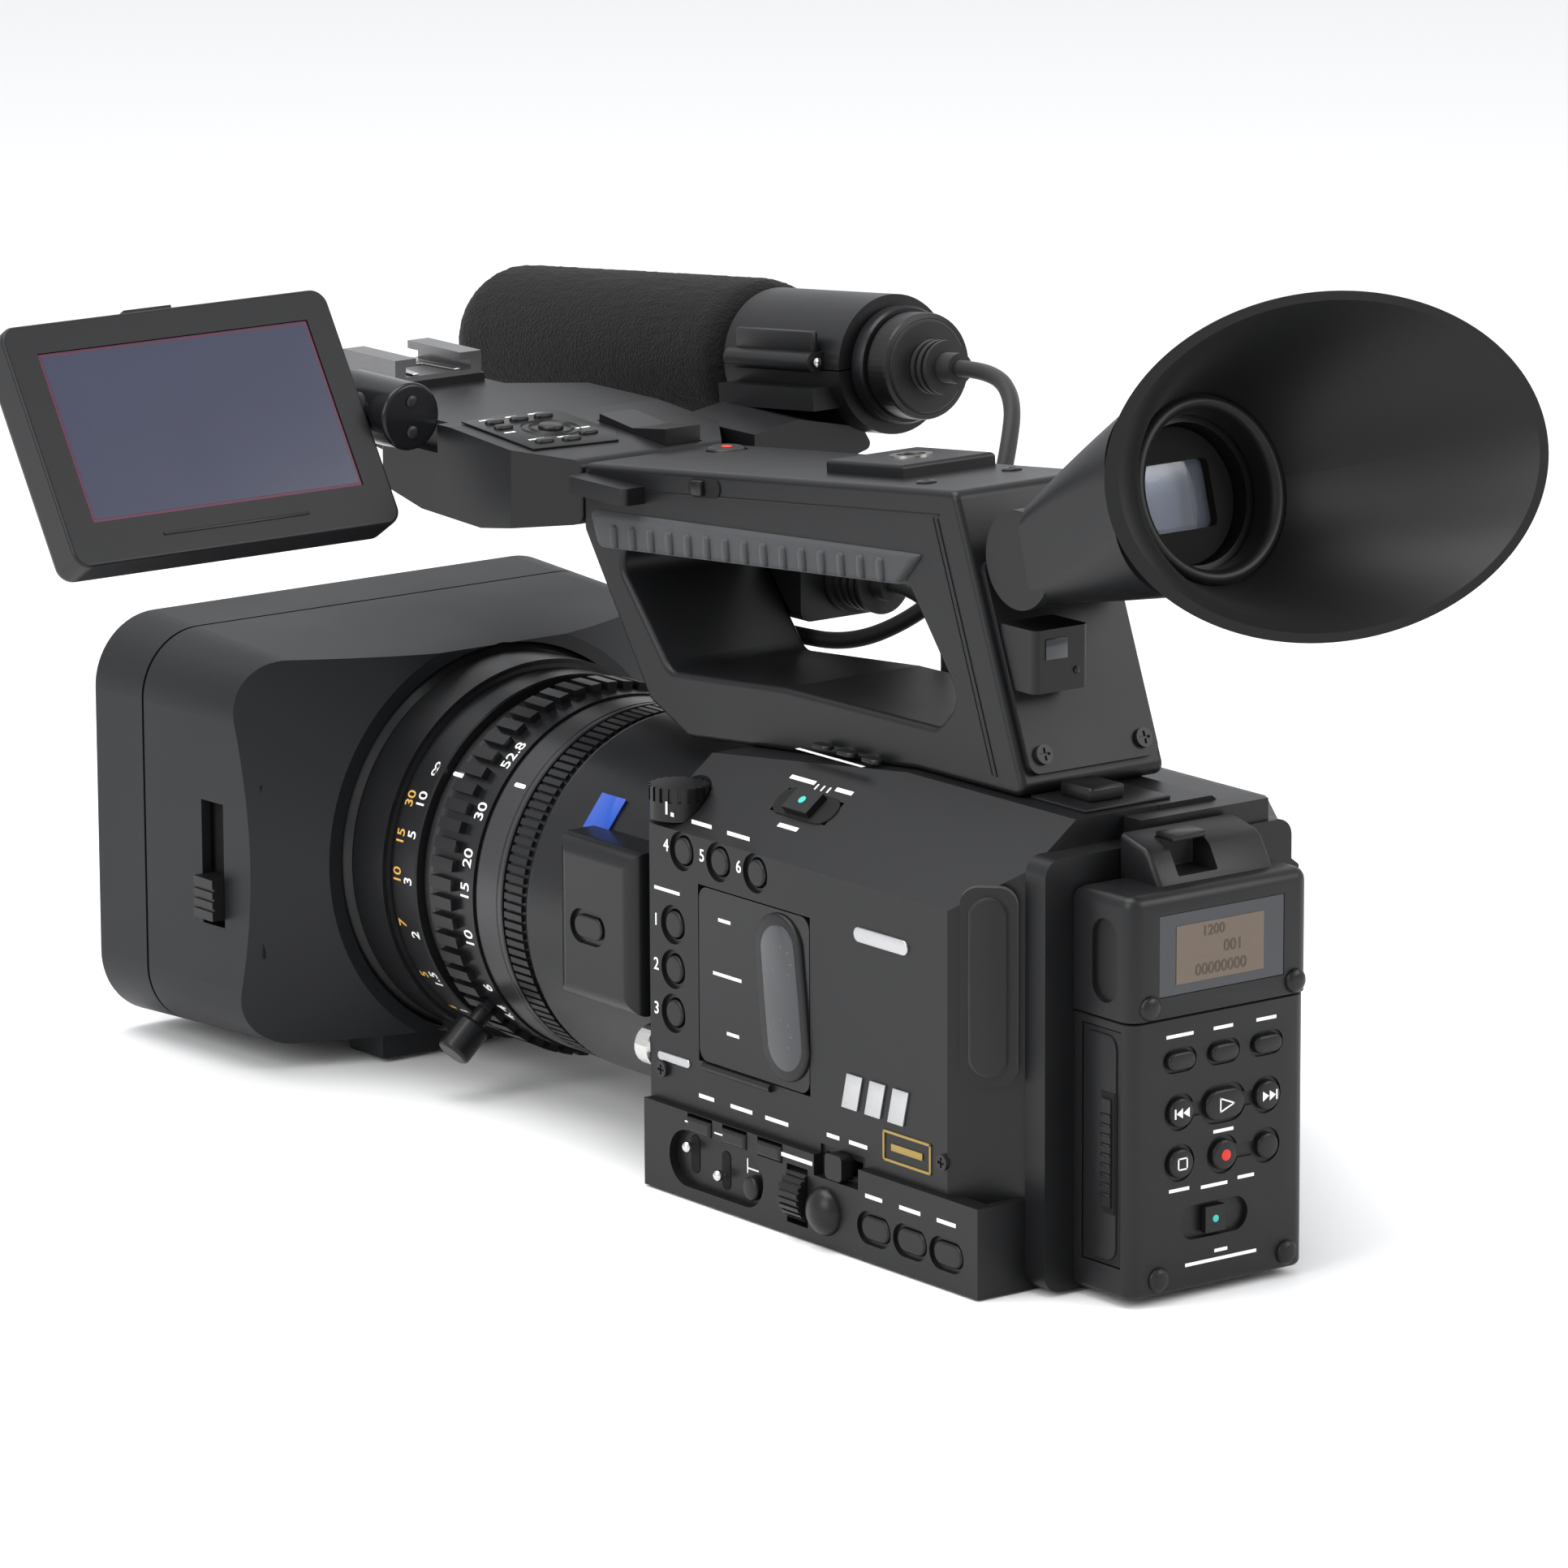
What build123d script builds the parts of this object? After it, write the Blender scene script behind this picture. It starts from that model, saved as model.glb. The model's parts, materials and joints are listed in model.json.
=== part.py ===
from build123d import *
import math
import os

# Professional camcorder with a top handle, a fold-out monitor, a tilting viewfinder,
# a shotgun microphone and a clip-on memory recorder. Millimetres, +X to the operator's
# right, +Y towards the subject, +Z up. The origin is the mouth of the tripod thread.

os.makedirs("parts", exist_ok=True)

# ---------------------------------------------------------------- driving dimensions
WALL = 2.5                  # moulded wall
GAP = 0.3                   # clearance round anything that moves
SEAM = 0.1                  # gap between two covers that meet

# body
BODY_LEFT = -48.0
BODY_RIGHT = 40.0
BODY_FRONT = -3.0
BODY_REAR = -124.0
BODY_TOP = 103.0
BODY_TOP_FRONT = 97.6       # the roof drops towards the lens
ROOF_BREAK_Y = -65.0
SHOULDER_Z = 84.0
SHOULDER_IN = 25.0          # how far the shoulder slopes in
BASE_STEP = 2.0             # the base stands out from the side panel
BASE_TOP = 20.7
BASE_WALL = 5.0
REAR_CHAMFER = 13.0
COVER_FLOOR = 0.5
PLATE_THICK = 3.0
TONGUE_HALF = 20.0
TONGUE_FRONT = 24.0
TONGUE_THICK = 6.0
TRIPOD_R = 3.2
TRIPOD_DEPTH = 5.5
THREAD_CLEAR = 0.4

# lens
LENS_Z = 51.0
CORE_R = 38.0
HOUSING_R = 43.0
HOUSING_FRONT = 53.4
IRIS_SPAN = (53.7, 62.1)
IRIS_R = 42.6
REAR_BAND_SPAN = (62.4, 73.0)
REAR_BAND_R = 42.4
ZOOM_SPAN = (73.3, 88.6)
ZOOM_R = 43.0
ZOOM_RIB_R = 44.8
ZOOM_BAND_W = 6.4
FRONT_BAND_SPAN = (88.9, 94.9)
FRONT_BAND_R = 41.6
FOCUS_SPAN = (95.2, 119.3)
FOCUS_R = 44.0
FOCUS_RUBBER_R = 46.2
FOCUS_BAND_W = 9.8
CAP_SPAN = (119.6, 128.0)
CAP_R = 47.5
GLASS_R = 36.0
GLASS_SEAT = 112.0
LENS_BUTTON = (BODY_LEFT + 0.4, 21.5, 55.0)
ZOOM_LEVER_ANGLE = 227.0    # degrees from straight up, towards the right
ZOOM_LEVER_OUT = 12.0
ZOOM_KNOB_R = 4.2
ZOOM_KNOB_LEN = 9.0
ZOOM_STEM_R = 2.2

# hood
HOOD_REAR = 120.5
HOOD_FRONT = 192.0
HOOD_HALF_W = 70.0
HOOD_HALF_H = 49.5
HOOD_TAPER = 3.0
HOOD_CORNER = 17.0
HOOD_WALL = 2.5
MASK_Y = 141.0
MASK_THICK = 2.5
MASK_HALF_W = 47.0
MASK_HALF_H = 28.0
BLADE_THICK = 1.4
BLADE_GAP = 0.6
SHUTTER_Y = 145.0           # shutter lever and its window
SHUTTER_Z = 50.0

# handle
HANDLE_HALF = 20.0
HANDLE_TOP_FRONT = 153.5
HANDLE_TOP_REAR = 167.5
HANDLE_FRONT = 60.0
HANDLE_REAR_TOP = -78.0
HANDLE_REAR_FOOT = -103.0
OPENING = [(50.0, 136.5), (27.0, 110.0), (-16.0, 113.4), (-72.0, 113.8), (-79.5, 121.0),
           (-60.0, 145.5)]
REC_KEY_R = 4.6
REC_KEY_AT = (11.0, 46.0)
PAD_PROUD = 1.8
COVER_T = 1.6

# front unit, monitor
UNIT_LEFT = -29.0
UNIT_RIGHT = 31.0
UNIT_FRONT = 176.0
UNIT_TOP = 157.0
UNIT_FLOOR = 142.0
ROCKER_AT = (11.0, 76.0)
ROCKER_LEN = 26.0
ROCKER_FLOOR = 150.5
SHOE_WIDTH = 25.0
SHOE_SLOT = 18.8
SHOE_SPAN = (146.0, 168.0)
LCD_W = 92.0
LCD_H = 60.0
LCD_T = 11.0
LCD_SCREEN_W = 74.0
LCD_SCREEN_H = 42.0
LCD_TILT = 58.0
LCD_Y = 117.5
LCD_Z = 159.5
LCD_NEAR = -42.0            # panel edge nearest the hinge
SWING_X = -36.0

# viewfinder
FINDER_Y = -97.5            # tilt axis
FINDER_Z = 155.0
FINDER_HALF = 18.0
FINDER_NOSE_R = 11.0
KNUCKLE_R = 8.0
KNUCKLE_HALF = 6.0
PIN_R = 3.0
PIN_CLEAR = 0.05
EYE_TILT = 16.0
EYE_BASE = (0.0, -134.0, 173.0)
EYE_WALL = 2.4
# distance behind the finder, half width, half height, shift to the right, yaw
EYE_STATIONS = [(0.3, 22.5, 22.5, 0, 0), (12, 26.0, 26.0, 1, -4), (24, 36, 31.5, 5, -12),
                (36, 50, 37, 9, -20)]

# microphone
MIC_X = 68.0
MIC_Y = 101.0
MIC_Z = 163.0
MIC_PITCH = -5.5
MIC_R = 10.4
FOAM_R = 19.0
FOAM_LEN = 118.0
CLAMP_R = 16.5
CLAMP_LEN = 45.0
MIC_TAIL_LEN = 50.0         # microphone behind the windscreen
BOOT_END = 70.0
CLAMP_HINGE_X = -CLAMP_R - 2.2
CLAMP_HINGE_Z = 2.2

# input box and cable
BOX_X = (HANDLE_HALF + SEAM, 50.0)
BOX_Y = (30.0, 80.0)
BOX_Z = (115.5, 134.5)
PLUG_AT = (36.0, 125.0)
CLIP_AT = (24.5, 54.0, 111.0)
PLUG_R = 8.8
CABLE_R = 2.0
PITCH = math.radians(MIC_PITCH)
CABLE_ROUTE = [
    (MIC_X, MIC_Y - BOOT_END * math.cos(PITCH), MIC_Z - BOOT_END * math.sin(PITCH)),
    (MIC_X, MIC_Y - (BOOT_END + 13) * math.cos(PITCH), MIC_Z - (BOOT_END + 13) * math.sin(PITCH)),
    (63.5, 5.5, 166.5),
    (55.0, -3.0, 157.0),
    (47.0, -8.0, 144.0),
    (40.0, -6.0, 131.0),
    (33.0, 3.5, 119.5),
    (27.5, 21.0, 111.0),
    (24.5, 42.0, 110.8),
    (24.6, 62.0, 111.2),
    (24.5, 78.0, 111.0),
    (30.8, 86.0, 106.0),
    (39.7, 86.0, 99.0),
    (46.0, 78.0, 94.0),
    (45.5, 60.0, 92.8),
    (43.0, 42.0, 92.5),
    (39.0, 26.0, 93.6),
    (36.2, 12.0, 95.0),
    (36.0, 3.5, 95.2),
    (36.0, -5.2, 103.0),
    (36.0, -5.2, 116.2),
    (36.0, 3.5, 125.0),
    (PLUG_AT[0], BOX_Y[0] - 15, PLUG_AT[1]),
]

# hand grip
GRIP_RIGHT = 84.0
GRIP_FRONT = 14.0
GRIP_REAR = -108.0
GRIP_SLANT_Y = -62.0        # the rear wall slants in from here
GRIP_SLANT_X = 50.0         # to here
GRIP_FLOOR = 6.0
GRIP_TOP = 86.0
DOOR_THICK = 3.0
STRAP_W = 44.0
STRAP_T = 3.0
STRAP_OUT = 9.0
TAPE_Y = (-56.0, -8.0)
TAPE_Z = (16.0, 74.0)
TRIGGER_R = 6.0
TRIGGER_Z = 60.0
GRIP_ROCKER = (62.0, -10.0)

# recorder
REC_LEFT = -29.0
REC_RIGHT = 20.5
REC_FRONT = -131.0
REC_REAR = -150.0
REC_TOP = 91.0
REC_FLOOR = 2.0
CRADLE_LEFT = -37.0
CRADLE_RIGHT = 32.0
CRADLE_TOP = 97.0
KEY_XS = [-15.3, -3.2, 8.9]
KEY_ZS = [53.7, 42.2, 30.9]
CARD_Y = (-146.5, -134.0)
CARD_Z = (9.0, 61.0)
POWER_X = (-13.5, 2.5)
POWER_Z = 17.0

# keys and switches
BUTTON_R = 3.2
BUTTON_CUP_R = 4.5
BUTTON_CUP = 1.0
BUTTON_LEN = 6.0
ASSIGN_FRONT = [(-11.7, 62.1), (-11.7, 51.8), (-11.7, 41.6)]
ASSIGN_TOP = [(-15.2, 79.6), (-28.8, 79.6), (-42.4, 79.6)]
PILL_YS = [-87.6, -100.4, -113.2]
PILL_Z = 8.2
LEDGE_KEY_YS = [-24.0, -37.0, -50.0]
AUDIO_Y = (-62.0, -21.5)
AUDIO_Z = (33.0, 73.0)
AUDIO_POCKET = 6.0
DIAL_Y = -60.0
DIAL_Z = 10.0
DIAL_R = 6.4
DIAL_X = -46.6
DIAL_W = 7.0
POWER_Y = -45.0
ND_AT = (-42.5, -7.0)
ND_R = 7.0
ND_Z = (85.5, 93.0)
AUTO_Y = -74.0


# ---------------------------------------------------------------- helpers
def span(x, y, z):
    """A box from three (low, high) pairs."""
    size = [b - a for a, b in (x, y, z)]
    middle = [(a + b) / 2 for a, b in (x, y, z)]
    return Pos(*middle) * Box(*size)


def outline(points, radius=0.0):
    """A closed face through points, with its corners rounded."""
    face = make_face(Polyline(*points, close=True))
    return fillet(face.vertices(), radius) if radius else face


def along_x(points, x, radius=0.0):
    """A (y, z) outline carried from x[0] to x[1]."""
    return Pos(x[0], 0, 0) * extrude(Plane.YZ * outline(points, radius), x[1] - x[0])


def along_y(points, y, radius=0.0):
    """An (x, z) outline carried from y[0] to y[1]."""
    return Pos(0, y[1], 0) * extrude(Plane.XZ * outline(points, radius), y[1] - y[0])


def along_z(points, z, radius=0.0):
    """An (x, y) outline carried from z[0] to z[1]."""
    return Pos(0, 0, z[0]) * extrude(outline(points, radius), z[1] - z[0])


def rod(radius, start, end):
    """A cylinder from one point to another."""
    a, b = Vector(*start), Vector(*end)
    plane = Plane(origin=a, z_dir=(b - a).normalized())
    return extrude(plane * Circle(radius), (b - a).length)


def lens_rod(radius, y):
    """A disc or tube blank on the lens axis."""
    return rod(radius, (0, y[0], LENS_Z), (0, y[1], LENS_Z))


def lens_ring(inner, outer, y):
    """A tube about the lens axis."""
    return lens_rod(outer, y) - lens_rod(inner, (y[0] - 1, y[1] + 1))


def pill(length, height, depth):
    """A stadium key, long along Y and standing out towards -X from x = 0."""
    face = Plane.YZ * SlotOverall(length, height)
    return Pos(-depth, 0, 0) * extrude(face, depth)


def soften(solid, axis, radius):
    """Round the edges that run along an axis."""
    return fillet(solid.edges().filter_by(axis), radius)


# ---------------------------------------------------------------- body covers
def roof_wedge(lift=0.0):
    """What the sloping roof takes off, lifted by an amount."""
    return along_x(
        [(ROOF_BREAK_Y, BODY_TOP + lift), (BODY_FRONT + 30, BODY_TOP_FRONT
          - 30 * (BODY_TOP - BODY_TOP_FRONT) / (BODY_FRONT - ROOF_BREAK_Y) + lift),
         (BODY_FRONT + 30, BODY_TOP + 30), (ROOF_BREAK_Y, BODY_TOP + 30)], (-80, 80))


def body_section(edge, inset):
    """Half of the body's cross-section, from the seam out to x = edge."""
    side = math.copysign(1, edge)
    out = edge - side * inset
    top = BODY_TOP - inset
    shoulder = SHOULDER_Z - inset * 0.4
    return [(side * SEAM, COVER_FLOOR), (out, COVER_FLOOR), (out, shoulder),
            (out - side * SHOULDER_IN, top), (side * SEAM, top)]


def half_cover(edge, base_edge, base_wall):
    """A hollow half shell, open at the seam and underneath."""
    side = math.copysign(1, edge)
    y = (BODY_REAR, BODY_FRONT)
    skin = along_y(body_section(edge, 0), y) - roof_wedge()
    hollow = along_y(body_section(edge, WALL), (y[0] + WALL, y[1] - WALL)) - roof_wedge(-WALL)
    base = span(sorted((side * SEAM, base_edge)), y, (COVER_FLOOR, BASE_TOP))
    room = span(sorted((0, base_edge - side * base_wall)), (y[0] + WALL, y[1] - WALL),
                (0, BASE_TOP))
    seam_room = span((-SEAM * 2, SEAM * 2), (y[0] + WALL, y[1] - WALL),
                     (0, BODY_TOP_FRONT - 2 * WALL))
    shell = skin + base
    shell -= hollow + room + seam_room
    shell -= rod(TRIPOD_R + THREAD_CLEAR, (0, 0, -1), (0, 0, TRIPOD_DEPTH + 1))
    return shell


def rear_corner():
    """The slanted rear-left corner that carries the terminal flap."""
    left = BODY_LEFT - BASE_STEP - 1
    return along_z([(left, BODY_REAR - 1), (BODY_LEFT + REAR_CHAMFER, BODY_REAR - 1),
                    (BODY_LEFT + REAR_CHAMFER, BODY_REAR),
                    (BODY_LEFT, BODY_REAR + REAR_CHAMFER),
                    (left, BODY_REAR + REAR_CHAMFER)], (BASE_TOP, BODY_TOP + 5))


def corner_wall():
    """A wall behind the slanted corner."""
    a = (BODY_LEFT, BODY_REAR + REAR_CHAMFER)
    b = (BODY_LEFT + REAR_CHAMFER, BODY_REAR)
    t = WALL * math.sqrt(2)
    return along_z([a, b, (b[0] + t, b[1]), (a[0], a[1] + t)], (BASE_TOP - WALL, SHOULDER_Z - 2))


def shoulder_plane(y, along=0.5):
    """A plane on the left shoulder, its x along +Y and its z outwards."""
    low = Vector(BODY_LEFT, y, SHOULDER_Z)
    high = Vector(BODY_LEFT + SHOULDER_IN, y, BODY_TOP)
    at = low + (high - low) * along
    out = (high - low).normalized().cross(Vector(0, 1, 0))
    if out.Z < 0:
        out = out * -1
    return Plane(origin=at, x_dir=(0, 1, 0), z_dir=out)


def left_cover():
    """Left half of the body, with the seats of its controls."""
    base_edge = BODY_LEFT - BASE_STEP
    shell = half_cover(BODY_LEFT, base_edge, BASE_WALL)
    shell += corner_wall()
    shell -= rear_corner()
    # pocket behind the audio level door
    pocket = span((BODY_LEFT + 0.5, BODY_LEFT + AUDIO_POCKET + WALL),
                  (AUDIO_Y[0] - WALL, AUDIO_Y[1] + WALL), (AUDIO_Z[0] - WALL, AUDIO_Z[1] + WALL))
    shell += pocket
    shell -= span((BODY_LEFT - 1, BODY_LEFT + AUDIO_POCKET),
                  (AUDIO_Y[0] - GAP, AUDIO_Y[1] + GAP), (AUDIO_Z[0] - GAP, AUDIO_Z[1] + GAP))
    # well for the filter wheel at the front corner
    well = rod(ND_R + GAP, (*ND_AT, ND_Z[0] - GAP), (*ND_AT, ND_Z[1] + 30))
    shell += rod(ND_R + GAP + WALL, (*ND_AT, ND_Z[0] - WALL), (*ND_AT, ND_Z[1] + 3)) \
        & along_y(body_section(BODY_LEFT, 0), (BODY_REAR, BODY_FRONT)) - roof_wedge()
    shell -= well
    # seats for the round keys
    for y, z in ASSIGN_FRONT + ASSIGN_TOP:
        shell -= rod(BUTTON_CUP_R, (BODY_LEFT - 1, y, z), (BODY_LEFT + BUTTON_CUP, y, z))
        shell -= rod(BUTTON_R + GAP, (BODY_LEFT - 1, y, z), (BODY_LEFT + BUTTON_LEN + 2, y, z))
    # switch recess, dial recess and key slots in the base
    recess = Pos(base_edge, -30, 9.8) * pill(35, 13, 2.2)
    shell -= Pos(2.2, 0, 0) * recess
    shell -= span((base_edge - 1, DIAL_X + DIAL_R + 1.5),
                  (DIAL_Y - DIAL_W / 2 - GAP, DIAL_Y + DIAL_W / 2 + GAP),
                  (DIAL_Z - DIAL_R - GAP, DIAL_Z + DIAL_R + GAP))
    for y in PILL_YS:
        shell -= Pos(base_edge + 1, y, PILL_Z) * pill(12, 7.5, 3)
        shell -= Pos(base_edge + BASE_WALL + 2, y, PILL_Z) * pill(10 + SEAM, 5.6 + SEAM, 9)
    for y in LEDGE_KEY_YS:
        shell -= span((base_edge - 1, BODY_LEFT + WALL + 2.5), (y - 4.6, y + 4.6), (16.2, 20.6))
    shell -= span((base_edge - 1, BODY_LEFT + 0.6), (AUTO_Y - 8, AUTO_Y + 8), (16.0, 23.0))
    shell -= span((base_edge - 1, base_edge + BASE_WALL + 1),
                  (AUTO_Y - 6.5, AUTO_Y + 6.5), (17.6, 21.4))
    # slot for the power switch on the shoulder
    shell -= shoulder_plane(POWER_Y) * Pos(0, 0, -1.2) * Box(20, 7, 4)
    shell -= shoulder_plane(POWER_Y) * Pos(0, 0, -3) * Box(16, 3.6, 8)
    return shell


def right_cover():
    """Right half of the body, behind the hand grip."""
    return half_cover(BODY_RIGHT, BODY_RIGHT, WALL)


def bottom_plate():
    """Metal base plate with the tripod tongue under the lens."""
    left = BODY_LEFT - BASE_STEP + BASE_WALL + SEAM
    right = BODY_RIGHT - WALL - SEAM
    plate = span((left, right), (BODY_REAR + WALL + SEAM, BODY_FRONT - WALL - SEAM),
                 (0, PLATE_THICK))
    tongue = span((-TONGUE_HALF, TONGUE_HALF), (BODY_FRONT + SEAM, TONGUE_FRONT),
                  (0, TONGUE_THICK))
    tongue = soften(tongue, Axis.Z, 4)
    bridge = span((-TONGUE_HALF, TONGUE_HALF), (BODY_FRONT - WALL - 4, BODY_FRONT + 6),
                  (0, COVER_FLOOR - SEAM))
    plate += tongue + bridge
    plate -= rod(TRIPOD_R, (0, 0, -1), (0, 0, TRIPOD_DEPTH))
    return plate


# ---------------------------------------------------------------- lens
def lens_barrel():
    """Fixed part of the lens, bored for its glass."""
    barrel = lens_rod(HOUSING_R, (BODY_FRONT + SEAM, HOUSING_FRONT))
    barrel = fillet(barrel.edges().filter_by(GeomType.CIRCLE).sort_by(Axis.Y)[-1], 2)
    pad = span((BODY_LEFT + 0.4, -20), (4, 34), (37, 75))
    pad = fillet(pad.faces().sort_by(Axis.X)[0].edges(), 4)
    barrel += pad
    barrel += lens_rod(CORE_R, (HOUSING_FRONT - 1, CAP_SPAN[0] + 1))
    barrel += lens_rod(REAR_BAND_R, REAR_BAND_SPAN)
    barrel += lens_rod(FRONT_BAND_R, FRONT_BAND_SPAN)
    cap = lens_rod(CAP_R, CAP_SPAN)
    cap = chamfer(cap.edges().filter_by(GeomType.CIRCLE).sort_by(Axis.Y)[0], 2.4)
    barrel += cap
    # bore for the glass, with a seat for the front element
    barrel -= lens_rod(CORE_R - 8, (BODY_FRONT - 1, CAP_SPAN[1] + 1))
    barrel -= lens_rod(GLASS_R + SEAM, (GLASS_SEAT, CAP_SPAN[1] + 1))
    x, y, z = LENS_BUTTON
    barrel -= Pos(x + 1.0, y, z) * pill(13.5, 8.0, 2.4)
    key = Pos(x + 2.0, y, z) * pill(10.6, 5.2, 2.0)
    barrel += fillet(key.faces().sort_by(Axis.X)[0].edges(), 0.5)
    return barrel


def front_lens():
    """A convex front element."""
    disc = lens_rod(GLASS_R, (GLASS_SEAT + SEAM, GLASS_SEAT + 12))
    ball_r = 78.0
    ball = Pos(0, GLASS_SEAT + 10 - ball_r, LENS_Z) * Sphere(ball_r)
    return disc & ball


def sensor_block():
    """Prism and sensor assembly behind the lens."""
    block = span((-17, 17), (-40, -12), (LENS_Z - 17, LENS_Z + 17))
    for x in (-1, 1):
        block += Pos(x * 18, -30, LENS_Z) * Box(3, 16, 20)
    block += Pos(0, -41.5, LENS_Z) * Box(20, 4, 16)
    block += lens_rod(15, (-12.5, -6.5))
    return block


def main_board():
    """Circuit board with its larger chips."""
    board = span((14, 15.6), (-112, -52), (14, 88))
    for y, z, a, b in [(-98, 66, 16, 16), (-74, 70, 12, 10), (-92, 36, 20, 14), (-66, 40, 9, 18)]:
        board += Pos(13.2, y, z) * Box(2.4, a, b)
    return board


def ribbed_ring(inner, body_r, rib_r, ring, rib_span, count, share):
    """A control ring with lengthwise ribs on part of its width."""
    ring_body = lens_ring(inner, body_r, ring)
    ring_body += lens_ring(inner, rib_r, rib_span)
    depth = rib_r - body_r
    width = 2 * math.pi * rib_r / count * share
    cutter = Box(width, rib_span[1] - rib_span[0] + 0.01, 2 * depth)
    cuts = [Pos(0, sum(rib_span) / 2, LENS_Z) * Rot(0, 360 / count * i, 0)
            * Pos(0, 0, rib_r) * cutter for i in range(count)]
    return ring_body - cuts


def focus_ring():
    """Wide rubber ring with a number band behind it."""
    inner = CORE_R + GAP
    rubber = (FOCUS_SPAN[0] + FOCUS_BAND_W, FOCUS_SPAN[1])
    return ribbed_ring(inner, FOCUS_R, FOCUS_RUBBER_R, FOCUS_SPAN, rubber, 72, 0.3)


def zoom_ring():
    """Ribbed ring with a number band and a lever below."""
    inner = CORE_R + GAP
    ribs = (ZOOM_SPAN[0] + ZOOM_BAND_W, ZOOM_SPAN[1] - 0.6)
    ring = ribbed_ring(inner, ZOOM_R, ZOOM_RIB_R, ZOOM_SPAN, ribs, 60, 0.4)
    y = sum(ribs) / 2
    turn = Pos(0, y, LENS_Z) * Rot(0, ZOOM_LEVER_ANGLE, 0)
    stem = Pos(0, 0, ZOOM_R + ZOOM_LEVER_OUT / 2) * Cylinder(ZOOM_STEM_R, ZOOM_LEVER_OUT)
    knob = Pos(0, 0, ZOOM_R + ZOOM_LEVER_OUT - 2) * Cylinder(ZOOM_KNOB_R, ZOOM_KNOB_LEN)
    knob = fillet(knob.edges().filter_by(GeomType.CIRCLE), 1)
    return ring + turn * stem + turn * knob


def iris_ring():
    """Narrow finely ribbed ring."""
    inner = CORE_R + GAP
    band = (IRIS_SPAN[0] + 0.8, IRIS_SPAN[1] - 0.8)
    return ribbed_ring(inner, IRIS_R - 1.0, IRIS_R, IRIS_SPAN, band, 120, 0.35)


# ---------------------------------------------------------------- hood
def hood_form(half_w, half_h, corner, y):
    """A tapered rounded box round the lens axis, wide end at y[1]."""
    plane = Plane(origin=(0, y[1], LENS_Z + 1.8), x_dir=(1, 0, 0), z_dir=(0, -1, 0))
    face = plane * RectangleRounded(2 * half_w, 2 * half_h, corner)
    return extrude(face, y[1] - y[0], taper=HOOD_TAPER)


def hood_cone(start, radius):
    """A cone that opens forwards from a radius."""
    run = 30.0
    grow = 48.0
    y_end = HOOD_FRONT + 5
    return along_lens([(0, start), (radius, start), (radius + grow, start + run),
                       (radius + grow, y_end), (0, y_end)])


def along_lens(points):
    """Revolve (radius, y) points about the lens axis."""
    face = make_face(Polyline(*[(r, y, LENS_Z) for r, y in points], close=True))
    return revolve(face, Axis((0, 0, LENS_Z), (0, 1, 0)), 360)


def lens_hood():
    """Hood with its shutter mask, bezel groove and lock block."""
    start = CAP_R + 3.5
    outer = hood_form(HOOD_HALF_W, HOOD_HALF_H, HOOD_CORNER, (HOOD_REAR - 8, HOOD_FRONT))
    outer = fillet(outer.faces().sort_by(Axis.Y)[-1].edges(), 1.2)
    outer &= hood_cone(HOOD_REAR, start)
    inner = hood_form(HOOD_HALF_W - HOOD_WALL, HOOD_HALF_H - HOOD_WALL, HOOD_CORNER - HOOD_WALL,
                      (HOOD_REAR - 8, HOOD_FRONT + 0.5))
    inner &= hood_cone(HOOD_REAR + 4, start - 2.5)
    hood = outer - inner
    hood -= lens_rod(CAP_R + SEAM, (HOOD_REAR - 1, CAP_SPAN[1] + 1))
    # mask that carries the shutter blades
    mask = hood_form(HOOD_HALF_W - 1, HOOD_HALF_H - 1, HOOD_CORNER - 1,
                     (HOOD_REAR - 8, HOOD_FRONT)) & span((-90, 90), (MASK_Y, MASK_Y + MASK_THICK),
                                                         (-20, 120))
    mask -= span((-MASK_HALF_W, MASK_HALF_W), (MASK_Y - 1, MASK_Y + MASK_THICK + 1),
                 (LENS_Z - MASK_HALF_H, LENS_Z + MASK_HALF_H))
    hood += mask
    # groove of the front bezel
    groove = hood_form(HOOD_HALF_W + 3, HOOD_HALF_H + 3, HOOD_CORNER + 3, (171.6, 172.4)) \
        - hood_form(HOOD_HALF_W - 0.5 - 1.05, HOOD_HALF_H - 0.5 - 1.05, HOOD_CORNER - 1.4,
                    (171.0, 173.0))
    hood -= groove
    # lock block under the throat
    lock = span((-34, -2), (124, 138), (1.2, 9))
    hood += lock - lens_rod(CAP_R + 1, (100, 150))
    # window for the shutter lever in the left wall
    hood -= span((-80, -50), (SHUTTER_Y - 4 - GAP, SHUTTER_Y + 4 + GAP), (SHUTTER_Z - 15, SHUTTER_Z + 15)) \
        & hood_cone(HOOD_REAR, start)
    return hood


def shutter_lever():
    """Slides down to open the blades and up to close them."""
    lever = span((-HOOD_HALF_W - 0.6, -HOOD_HALF_W + 8), (SHUTTER_Y - 4, SHUTTER_Y + 4),
                 (SHUTTER_Z - 13, SHUTTER_Z - 3))
    for step in range(3):
        lever -= Pos(-HOOD_HALF_W - 0.6, SHUTTER_Y, SHUTTER_Z - 10.4 + 2.4 * step) * Box(1, 9, 0.8)
    return lever


def shutter_blade(side):
    """One blade, swung open along the hood; side is +1 for the upper one."""
    hinge_z = LENS_Z + side * (MASK_HALF_H - BLADE_THICK)
    y0 = MASK_Y + MASK_THICK + BLADE_GAP
    reach = MASK_HALF_H - BLADE_THICK - BLADE_GAP
    low = sorted((hinge_z, hinge_z + side * BLADE_THICK))
    blade = span((-MASK_HALF_W + 1, MASK_HALF_W - 1), (y0, y0 + reach), low)
    return blade


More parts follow.
